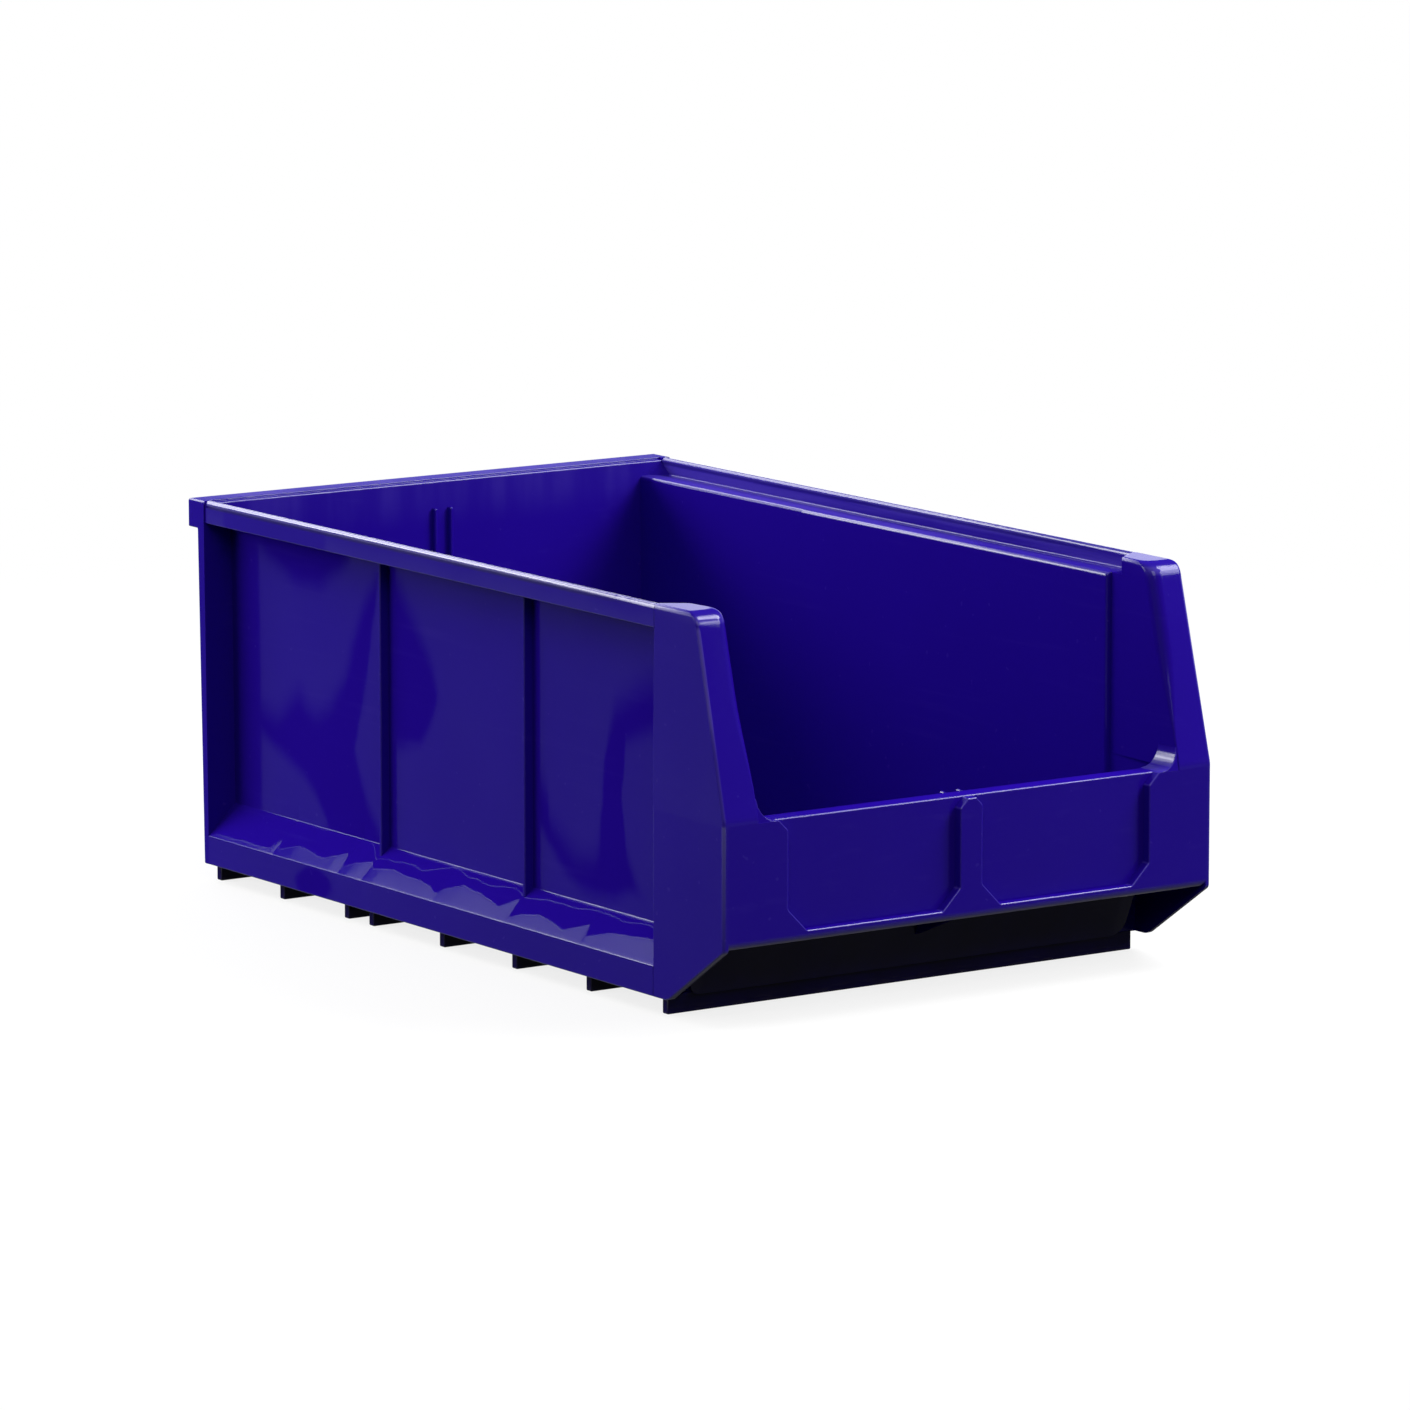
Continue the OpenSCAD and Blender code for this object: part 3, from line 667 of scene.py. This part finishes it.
def sideSection(inner):
    crownX = (halfWidth + wallOut) / 2 + side["crown"]
    crownZ = (skirtTop + shoulderTop) / 2 + side["crown"]
    return [
        (stubIn, foot, 0), (wallOut, foot, 0), (wallOut, shoulderLow, 0), (plateIn, skirtTop, 0),
        (plateIn, foot, side["skirtInner"]), (halfWidth, foot, side["skirtFoot"]),
        (halfWidth, skirtTop, side["skirtTop"]), (crownX, crownZ, side["crownRound"]),
        (wallOut, shoulderTop, side["panelFoot"]), (wallOut, ledgeLow, side["underRim"]),
        (rimOut, ledgeLow, side["rimFoot"]), (rimOut, top, side["rimRound"]),
        (rimIn, top, side["rimInner"]), (rimIn, ledgeTop, side["ledgeInner"]),
        (inner, ledgeTop, side["ledgeRound"]), (inner, floorTop, side["floorFillet"]), (stubIn, floorTop, 0),
    ]


section, behindJog = sideSection(wallIn), roundOff(sideSection(tubIn))
rings = []
for turn in arcTurns:
    depth = side["frontEase"] * turn
    insets = [0] * len(section)
    insets[innerFace] = eased(side["frontEase"], depth)
    rings.append(stand("y", postRear + depth, roundOff(shrink(section, insets))))
rings.append(stand("y", jogY - side["jogHalf"], roundOff(section)))
rings.append(stand("y", jogY + side["jogHalf"], behindJog))
rings.append([(x, rearWallAt(z), z) for x, z in behindJog])
# the rim is the shiniest edge, and the ledge dims behind the jog
bright = {rimOuterCorner: side["rimShine"], rimInnerCorner: side["rimShine"], ledgeHeel: side["heelShine"],
          ledgeLip: side["ledgeShine"]}
marks = [edgeMarks(section, dim=bright)] * (len(rings) - 2)
bright[ledgeLip] = side["ledgeShineBehind"]
marks += [edgeMarks(section, dim=bright)] * 2
finishPair(loft("right_side", rings, marks), sidePlastic,
           "side_wall", "stacking_ledge", "rim", "shoulder", "skirt")

# rear wall with its hooked lip, and the closed ends of the lip
rearWall = {
    "thick": 5.0, "stepWide": 2.5, "stepDeep": 1.2, "footFront": 0.5, "footBack": 1.0, "slotWall": 1.0,
    "slotLip": 0.8, "lipInner": 0.5, "lipOuter": 0.8, "lipTop": 1.5, "stepEdge": 0.5, "stepCorner": 0.3,
    "wallTop": 1.0, "underLip": 0.6, "endEases": [0.6, 1, 0.8, 1.2, 1.2, 0],
}
backFoot = wallFoot + rearWall["thick"]
lipLow, lipUnder = low("rear_lip_face", "z"), low("rear_lip_top", "z")
lipIn = low("rear_lip_face", "y")
backLean = (low("rear_lip_top", "y") - backFoot) / (lipUnder - foot)
stepFloor = top - rearWall["stepDeep"]
stepY = rearWallAt(top) + rearWall["stepWide"]


def backAt(z):
    return backFoot + backLean * (z - foot)


section = [
    (wallFoot, foot, rearWall["footFront"]), (backFoot, foot, rearWall["footBack"]),
    (backAt(lipUnder), lipUnder, rearWall["slotWall"]), (lipIn, lipUnder, rearWall["slotLip"]),
    (lipIn, lipLow, rearWall["lipInner"]), (rear, lipLow, rearWall["lipOuter"]),
    (rear, top, rearWall["lipTop"]), (stepY, top, rearWall["stepEdge"]),
    (stepY, stepFloor, rearWall["stepCorner"]), (rearWallAt(stepFloor), stepFloor, rearWall["wallTop"]),
]
finishPiece(bar("rear_panel", section, "x", -rimIn, rimIn), rearPlastic,
            "rear_wall", "rear_lip_top", "rear_lip_face")
section = [
    (wallFoot, foot, rearWall["footFront"]), (backFoot, foot, rearWall["footBack"]),
    (backAt(lipLow), lipLow, rearWall["underLip"]), (rear, lipLow, rearWall["lipOuter"]),
    (rear, top, rearWall["lipTop"]), (rearWallAt(top), top, 0),
]
rearEnd = bar("right_rear_end", section, "x", rimIn, halfWidth, endEase=rearWall["endEases"])
rearEndLeft = copyOf(rearEnd, "left_rear_end", mirror=True)
finishPiece(rearEnd, bluePlastic, "rear_lip_right_end")
finishPiece(rearEndLeft, bluePlastic, "rear_lip_left_end")
print("tub, sides and rear ready")

# posts: a tapering head above the sill and a flat plate below it
post = {
    "topRound": 9.0, "innerRound": 6.5, "innerLeast": 0.8, "outerRound": 1.8, "rearRound": 0.8,
    "innerTop": 2.5, "outerTop": 2.0, "cutTop": 0.6, "roundFrom": 8.0, "roundFull": 62.0, "kinkBlend": 4.0,
    "frontDeep": 3.20292, "draft": 1.2, "rearWider": 0.4, "shelfSet": 0.6, "shelfBack": 3.0, "nick": 0.02,
    "sideways": 0.05, "plateau": 0.15, "brightEdgeRise": (138, 158), "brightEdgeShine": 2, "brightEdgeLevel": 150,
    "topShine": 0.7, "glintFrom": (0.30, 0.45), "glintTo": (0.66, 0.84),
    "footLevels": (0, 1, 2, 3, 4), "roundSteps": 6, "topSteps": 8,
}
headIn = wallIn  # the heads' inner faces close in on the opening towards the front
kink = low("right_post_front", "z")
headReach = high("right_post_front", "y") - post["frontDeep"] - front
headLean = headReach / (high("right_post_front", "z") - kink)
flare = low("right_stacking_ledge", "y")
roundZ = top - post["topRound"]
leanSize = math.sqrt(1 + headLean ** 2)
roundY = front + headLean * (roundZ - kink) + post["topRound"] * leanSize
tangent = math.asin(headLean / leanSize)


def headFront(z):
    kinkStart = kink - post["kinkBlend"] / 2
    if z > roundZ + post["topRound"] * headLean / leanSize:
        return roundY - math.sqrt(max(post["topRound"] ** 2 - (z - roundZ) ** 2, 0))
    if z <= kinkStart:
        return front
    if z < kink + post["kinkBlend"] / 2:
        return front + headLean * (z - kinkStart) ** 2 / (2 * post["kinkBlend"])
    return front + headLean * (z - kink)


def headPlan(z, shelf):
    growth = blend(z - sillTop, post["roundFrom"], post["roundFull"])
    innerRound = post["innerLeast"] + (post["innerRound"] - post["innerLeast"]) * growth
    cut = [(bayIn + post["nick"], postRear, 0), (bayIn, postRear - post["nick"], 0)]
    if shelf:
        cut = [(rimIn, postRear, 0), (bayIn - post["shelfSet"], flare + post["shelfBack"], 0)]
    outerFront = halfWidth - post["draft"] * (z - sillTop) / (top - sillTop)
    outerRear = min(outerFront + post["rearWider"], halfWidth)
    plan = [(headIn, headFront(z), innerRound), (outerFront, headFront(z), post["outerRound"]),
            (outerRear, postRear, post["rearRound"]), *cut]
    left = top - z
    insets = [0, eased(post["outerTop"], left), 0, eased(post["cutTop"], left), eased(post["innerTop"], left)]
    # from about mid height up the outer front edge shines more and gets more painted highlight
    outerShine = 1 + post["brightEdgeShine"] * blend(z, *post["brightEdgeRise"])
    innerCorner, outerCorner = 0, 1
    ringMarks = edgeMarks(plan, insets, {innerCorner: 0, outerCorner: outerShine})
    if z > roundZ:  # only a narrow band of the rounded top mirrors the lamp overhead, and the painted highlight paints that band paler
        rise = (z - roundZ) / post["topRound"]
        glint = post["topShine"] * blend(rise, *post["glintFrom"]) * (1 - blend(rise, *post["glintTo"]))
        frontArcs = 2 * (arcSteps + 1)
        ringMarks[:frontArcs] = [glint] * frontArcs
    return roundOff(shrink(plan, insets)), ringMarks


heights = [sillTop + rise for rise in post["footLevels"]] + [post["brightEdgeLevel"]]
for step in range(post["roundSteps"] + 1):
    share = step / post["roundSteps"]
    heights.append(sillTop + post["roundFrom"] + (post["roundFull"] - post["roundFrom"]) * share)
levels = [(z, False) for z in sorted(heights)] + [(ledgeTop, False), (ledgeTop, True)]
for step in range(post["topSteps"] + 1):
    angle = tangent + (math.pi / 2 - tangent) * step / post["topSteps"]
    levels.append((roundZ + post["topRound"] * math.sin(angle), True))
rings, marks = [], []
for z, shelf in levels:
    plan, ringMarks = headPlan(z, shelf)
    rings.append(stand("z", z, plan))
    marks.append(ringMarks)
postHead = loft("right_post_head", rings, marks, post["sideways"], post["plateau"])
finishPair(postHead, headPlastic, "post_front", "post_cap")

plate = {
    "heelAhead": 9.3, "rearRound": 0.3, "apronRound": 3.0, "heelRound": 10.0,
    "eases": [0.8, 0, 1.8, 1.2, 0.8],
}
heel = low("runner_1", "y") - plate["heelAhead"]
section = [
    (postRear, foot, plate["rearRound"]), (postRear, sillTop, 0), (front, sillTop, 0),
    (front, apron, plate["apronRound"]), (heel, foot, plate["heelRound"]),
]
postFoot = bar("right_post_foot", section, "x", plateIn, halfWidth, endEase=plate["eases"])
finishPair(postFoot, ribPlastic, "post_plate")

bay = {"panelLap": 1.5, "apronSet": 0.4, "hopperFrom": 9.0, "heelSet": 0.8}
bayFront, bayApron, bayHopper = panelBack - bay["panelLap"], apron + bay["apronSet"], foot + bay["hopperFrom"]
section = [
    (postRear, foot, 0), (postRear, sillTop, 0), (bayFront, sillTop, 0), (bayFront, bayApron, 0),
    (hopperAt(apron) - hopperWall, bayApron, 0), (hopperAt(bayHopper) - hopperWall, bayHopper, 0),
    (postRear - bay["heelSet"], foot, 0),
]
finishPair(bar("right_bay_side", section, "x", bayIn, bayOut), bluePlastic, "bay_wall")
backFront = low("right_post_web", "y")
section = [(bayOut, backFront, 0), (plateIn, backFront, 0), (plateIn, postRear, 0), (bayOut, postRear, 0)]
finishPair(bar("right_post_back", section, "z", foot, sillTop), bluePlastic, "post_web")

# front: label panel, sill and sloping hopper in one section, with the raised frame before it
frontWall = {
    "apronSet": 0.4, "apronRound": 0.6, "underSill": 1.2, "hopperTop": 6.0, "sillBack": 1.4, "sillRound": 0.9,
    "hopperCorner": 8.0, "hopperShine": 0.1, "sillShine": 0.7,
}
panelFoot = apron + frontWall["apronSet"]
section = [
    (panelFront, panelFoot, frontWall["apronRound"]), (panelBack, panelFoot, frontWall["apronRound"]),
    (panelBack, sillLow, frontWall["underSill"]),
    (hopperAt(sillLow) - hopperWall, sillLow, frontWall["underSill"]),
    (hopperAt(foot) - hopperWall, foot, 0), (hopperAt(foot), foot, 0),
    (sillBack, sillLow, frontWall["hopperTop"]), (sillBack, sillTop, frontWall["sillBack"]),
    (panelFront, sillTop, frontWall["sillRound"]),
]
hopperOuter, hopperInner, sillEdge = 4, 5, 8  # corners of the section
dim = {hopperOuter: frontWall["hopperShine"], hopperInner: frontWall["hopperShine"],
       sillEdge: frontWall["sillShine"]}
eases = [0] * len(section)
eases[hopperOuter] = frontWall["hopperCorner"]
finishPiece(bar("front_wall", section, "x", -bayOut, bayOut, eases, eases, dim), frontPlastic,
            "label_panel", "front_sill", "hopper_wall")

labelFrame = {
    "cut": 10.5, "topCut": 6.0, "postCut": 4.7, "postBelow": 0.7, "corner": 2.0, "sillCorner": 1.0,
    "postCorner": 0.8, "edgeEase": 0.8, "softEase": 2.0, "apronEase": 4.5, "back": 2.0,
}
labelX = low("right_frame_end", "x") + labelFrame["cut"]
railTop = high("front_rail", "z")
postHalf = high("centre_post", "x") - labelFrame["cut"]
postTop = sillTop - labelFrame["postBelow"]
corner, cut, topCut, postCut = [labelFrame[key] for key in ("corner", "cut", "topCut", "postCut")]
half = [
    (plateIn, apron, 0), (plateIn, sillTop, 0), (labelX + topCut, sillTop, labelFrame["sillCorner"]),
    (labelX, sillTop - topCut, corner), (labelX, railTop + cut, corner), (labelX - cut, railTop, corner),
    (postHalf + cut, railTop, corner), (postHalf, railTop + cut, corner),
    (postHalf, postTop - postCut, corner), (postHalf - postCut, postTop, labelFrame["postCorner"]),
]
section = mirrored(half)
eases = [0, 0] + [labelFrame["edgeEase"]] * (len(section) - 5) + [0, 0, labelFrame["apronEase"]]
eases[7] = eases[15] = labelFrame["softEase"]  # the edges that look to the right are softer
labelRails = bar("label_frame", section, "y", front, panelFront + labelFrame["back"], startEase=eases)
finishPiece(labelRails, frontPlastic, "left_frame_end", "right_frame_end", "front_rail", "centre_post")

fillet = {
    "round": 11.0, "flat": 0.3, "runOut": 0.3, "sunk": 0.5, "into": 1.4, "above": 0.02, "frontSet": 0.3,
    "backSet": 0.2, "ease": 0.5, "depths": (0, 0.15, 0.5), "shine": 0.8,
}
filletLow, filletFloor = sillTop - fillet["sunk"], sillTop + fillet["above"]
filletTop = sillTop + fillet["round"] + fillet["runOut"]
filletX, filletOut = headIn - fillet["flat"], headIn + fillet["into"]
filletEnd = filletX - fillet["round"] - fillet["runOut"]
hollow = 3  # the corner of the section with the large round
section = [
    (filletOut, filletLow, 0), (filletOut, filletTop, 0), (filletX, filletTop, 0),
    (filletX, filletFloor, fillet["round"]), (filletEnd, filletFloor, 0), (filletEnd, filletLow, 0),
]
rings = []
for depth in fillet["depths"]:
    inset = eased(fillet["ease"], depth)
    points = roundOff(shrink(section, [0, 0, inset, inset, 0, 0]))
    rings.append([(x, headFront(z) + fillet["frontSet"] + depth, z) for x, z in points])
rings.append(stand("y", sillBack - fillet["backSet"], roundOff(section)))
marks = [edgeMarks(section, dim={hollow: fillet["shine"]})] * len(rings)
finishPair(loft("right_sill_corner", rings, marks), frontPlastic, "sill_fillet")
print("posts and front ready")

# ribs, runners, guides, gussets and the web behind the label panel
rib = {"sunk": 1.0, "edge": 0.8, "shine": 0.2}
ribFront, ribBack = low("right_front_rib", "y"), high("right_front_rib", "y")
ribIn, ribOut = wallOut - rib["sunk"], high("right_front_rib", "x")
section = [(ribIn, ribFront, 0), (ribOut, ribFront, rib["edge"]), (ribOut, ribBack, rib["edge"]),
           (ribIn, ribBack, 0)]
outerCorners = (1, 2)
frontRib = bar("right_front_rib_bar", section, "z", low("right_front_rib", "z"), ledgeLow + rib["sunk"],
               dim=dict.fromkeys(outerCorners, rib["shine"]))
rearRib = copyOf(frontRib, "right_rear_rib_bar", (0, low("right_rear_rib", "y") - ribFront, 0))
finishPair(frontRib, ribPlastic, "front_rib")
finishPair(rearRib, ribPlastic, "rear_rib")

runner = {
    "edge": 0.8, "ease": 0.5, "sunk": 0.5, "intoSkirt": 0.2, "overSkirt": 0.9, "intoShoulder": 1.2,
    "intoFloor": 1.3, "plainSunk": 0.4,
}
runnerX, runnerTop = high("runner_1", "x"), foot + runner["intoSkirt"]
webOut, webIn = plateIn + runner["sunk"], wallOut - runner["sunk"]
half = [
    (runnerX, 0, runner["edge"]), (runnerX, runnerTop, 0), (webOut, runnerTop, 0),
    (webOut, skirtTop + runner["overSkirt"], 0), (webIn, shoulderLow + runner["intoShoulder"], 0),
    (webIn, foot + runner["intoFloor"], 0),
]
section = mirrored(half)
eases = [runner["ease"]] + [0] * (len(section) - 3) + [runner["ease"]] * 2
webbed = bar("runner_bar_2", section, "y", low("runner_2", "y"), high("runner_2", "y"), eases, eases)
for number in webbedRunners[1:]:
    shift = low("runner_%d" % number, "y") - low("runner_2", "y")
    finishPiece(copyOf(webbed, "runner_bar_%d" % number, (0, shift, 0)), footPlastic, "runner_%d" % number)
finishPiece(webbed, footPlastic, "runner_2")
plainTop = foot + runner["plainSunk"]
section = [(-runnerX, 0, runner["edge"]), (runnerX, 0, runner["edge"]), (runnerX, plainTop, 0),
           (-runnerX, plainTop, 0)]
eases = [runner["ease"], runner["ease"], 0, runner["ease"]]
plain = bar("runner_bar_1", section, "y", low("runner_1", "y"), high("runner_1", "y"), eases, eases)
last = copyOf(plain, "runner_bar_8", (0, low("runner_8", "y") - low("runner_1", "y"), 0))
finishPiece(plain, footPlastic, "runner_1")
finishPiece(last, footPlastic, "runner_8")

guide = {"sunk": 0.5, "ridge": 0.05, "rearTop": 1.2, "frontTop": 1.0}
guideLow, guideHigh = low("rear_guide_right", "x"), high("rear_guide_right", "x")
guideEdge = (guideHigh - guideLow) / 2 - guide["ridge"]
proud = wallFoot - low("rear_guide_right", "y") + wallLean * (floorTop - foot)
guideFoot, guideTop = floorTop - guide["sunk"], high("rear_guide_right", "z")
section = [
    (rearWallAt(floorTop) + guide["sunk"], guideFoot, 0), (rearWallAt(guideTop) + guide["sunk"], guideTop, 0),
    (rearWallAt(guideTop) - proud, guideTop, guide["rearTop"]), (rearWallAt(floorTop) - proud, guideFoot, 0),
]
eases = [0, guideEdge, guideEdge, 0]
rearGuide = bar("rear_guide_bar_right", section, "x", guideLow, guideHigh, eases, eases)
finishPiece(copyOf(rearGuide, "rear_guide_bar_left", mirror=True), bluePlastic, "rear_guide_left")
finishPiece(rearGuide, bluePlastic, "rear_guide_right")
guideTop = high("front_guide_right", "z")
section = [
    (hopperAt(floorTop) - guide["sunk"], guideFoot, 0), (hopperAt(floorTop) + proud, guideFoot, 0),
    (sillBack + proud, sillLow, 0), (sillBack + proud, guideTop, guide["frontTop"]),
    (sillBack - guide["sunk"], guideTop, 0), (sillBack - guide["sunk"], sillLow, 0),
]
eases = [0, guideEdge, guideEdge, guideEdge, 0, 0]
frontGuide = bar("front_guide_bar_right", section, "x", guideLow, guideHigh, eases, eases)
finishPiece(copyOf(frontGuide, "front_guide_bar_left", mirror=True), bluePlastic, "front_guide_left")
finishPiece(frontGuide, bluePlastic, "front_guide_right")

gusset = {"sunk": 0.5, "tipBelow": 0.6, "tipShare": 0.07, "topShare": 0.03}
gussetX, gussetY = low("right_rim_gusset", "x"), low("right_rim_gusset", "y")
gussetTop = high("right_rim_gusset", "z")
gussetLevels = [
    (ledgeTop - gusset["sunk"], 1), (ledgeTop, 1), (gussetTop - gusset["tipBelow"], gusset["tipShare"]),
    (gussetTop, gusset["topShare"]),
]
rings = []
for z, share in gussetLevels:
    cornerX, cornerY = rimIn + gusset["sunk"], rearWallAt(z) + gusset["sunk"]
    rings.append([(cornerX, cornerY, z), (cornerX + (gussetX - cornerX) * share, cornerY, z),
                  (cornerX, cornerY + (gussetY - cornerY) * share, z)])
finishPair(loft("right_rim_corner", rings), bluePlastic, "rim_gusset")

web = {"sunk": 0.5, "apronSet": 1.0}
webLow, webTop = low("front_web", "z"), high("front_web", "z")
webFront, webHigh = panelBack - web["sunk"], webTop + web["sunk"]
section = [
    (webFront, apron + web["apronSet"], 0), (hopperAt(webLow) - hopperWall + web["sunk"], webLow, 0),
    (hopperAt(webTop) - hopperWall + web["sunk"], webHigh, 0), (webFront, webHigh, 0),
]
frontWeb = bar("front_web_plate", section, "x", low("front_web", "x"), high("front_web", "x"))
finishPiece(frontWeb, bluePlastic, "front_web")
print("ribs, runners and guides ready")

# studio: floor, soft lamps and the camera
studio = {
    "floorSize": 40.0, "floorDark": (0.02, 0.02, 0.02, 1), "floorPale": (0.9, 0.9, 0.9, 1),
    "white": (1, 1, 1, 1), "nearGlow": 0.82, "shadowReach": (0.35, 1.3), "ambient": (0.07, 0.78),
    "ambientRise": (0.2, 0.95), "horizon": 0.4, "horizonRise": (0.18, 0.3),
}
bpy.ops.object.select_all(action="DESELECT")
bpy.ops.mesh.primitive_plane_add(size=studio["floorSize"])
floor = bpy.context.object
floor.name = "studio_floor"
material = bpy.data.materials.new("studio_floor")
material.use_nodes = True
tree = material.node_tree
tree.nodes.remove(tree.nodes["Principled BSDF"])
w = Wire(tree)
camera, glossy, through = [w.node("ShaderNodeLightPath", out=ray) for ray in (0, 3, 6)]
seen = w.math("ADD", camera + glossy, through, clamp=True)
shade = w.node("ShaderNodeMix", {"data_type": "RGBA"},
               {0: seen, 6: studio["floorDark"], 7: studio["floorPale"]}, out=2)
matt = w.node("ShaderNodeBsdfDiffuse", {}, {"Color": shade})
glow = w.node("ShaderNodeEmission", {}, {"Color": studio["white"], "Strength": 1.0})
away = vector(w, "LENGTH", {0: w.node("ShaderNodeTexCoord", out=3)}, 1)
# the shadow stays near the bin, further off the floor is white
share = smooth(w, away, *studio["shadowReach"], studio["nearGlow"], 1.0)
mixed = w.node("ShaderNodeMixShader", {}, {0: seen * share, 1: matt, 2: glow})
tree.links.new(mixed.socket, tree.nodes["Material Output"].inputs["Surface"])
floor.data.materials.append(material)

world = bpy.data.worlds.new("studio")
bpy.context.scene.world = world
world.use_nodes = True
tree = world.node_tree
w = Wire(tree)
rise = coordinate(w, w.node("ShaderNodeTexCoord", out=0), "z")
glossy = w.node("ShaderNodeLightPath", out=3)
ambient = smooth(w, rise, *studio["ambientRise"], *studio["ambient"])
level = ambient + glossy * smooth(w, rise, *studio["horizonRise"], studio["horizon"], 0.0)
tree.nodes["Background"].inputs["Color"].default_value = studio["white"]
tree.links.new(level.socket, tree.nodes["Background"].inputs["Strength"])

lamps = {
    "leftKey": {"place": (-0.67, 1.15, 0.76), "aim": (0.0, 0.0, 0.1), "size": (0.55, 0.55), "watts": 7.0},
    "rearBank": {"place": (-0.20, 1.55, 1.15), "aim": (0.0, 0.0, 0.1), "size": (1.5, 0.5), "watts": 12.0},
    "leftLow": {"place": (-1.30, 0.90, 0.45), "aim": (0.0, 0.0, 0.1), "size": (0.9, 0.7), "watts": 12.2},
    "right": {"place": (0.95, -1.16, 0.90), "aim": (0.0, 0.0, 0.1), "size": (0.6, 0.6), "watts": 10.6},
    "overhead": {"place": (0.95, -0.55, 1.38), "aim": (0.0, 0.0, 0.1), "size": (0.7, 0.7), "watts": 22.0},
    "frontFill": {"place": (-0.85, -1.40, 1.10), "aim": (0.0, -0.1, 0.1), "size": (0.8, 0.8), "watts": 7.5},
    "rear": {"place": (1.15, 1.66, 0.50), "aim": (0.0, 0.0, 0.2), "size": (1.7, 0.36), "watts": 6.0},
}
for name, lamp in lamps.items():
    bpy.ops.object.light_add(type="AREA", location=lamp["place"])
    light = bpy.context.object
    light.name = "softbox_" + name
    light.data.shape = "RECTANGLE"
    light.data.size, light.data.size_y = lamp["size"]
    light.data.energy = lamp["watts"]
    light.visible_camera = False
    light.rotation_euler = (Vector(lamp["aim"]) - Vector(lamp["place"])).to_track_quat("-Z", "Y").to_euler()

view = {
    "azimuth": -34.64, "elevation": 9.71, "distance": 4.227, "aim": (0.00927, -0.00364, 0.11331),
    "lens": 207.7, "sensor": 36, "farthest": 100,
}
turn, tilt = math.radians(view["azimuth"]), math.radians(view["elevation"])
back = Vector((math.sin(turn) * math.cos(tilt), -math.cos(turn) * math.cos(tilt), math.sin(tilt)))
bpy.ops.object.camera_add(location=Vector(view["aim"]) + back * view["distance"])
shot = bpy.context.object
shot.rotation_euler = back.to_track_quat("Z", "Y").to_euler()
shot.data.lens = view["lens"]
shot.data.sensor_width = view["sensor"]
shot.data.clip_end = view["farthest"]
bpy.context.scene.camera = shot
bpy.context.scene.view_settings.view_transform = "Standard"
print("studio ready")
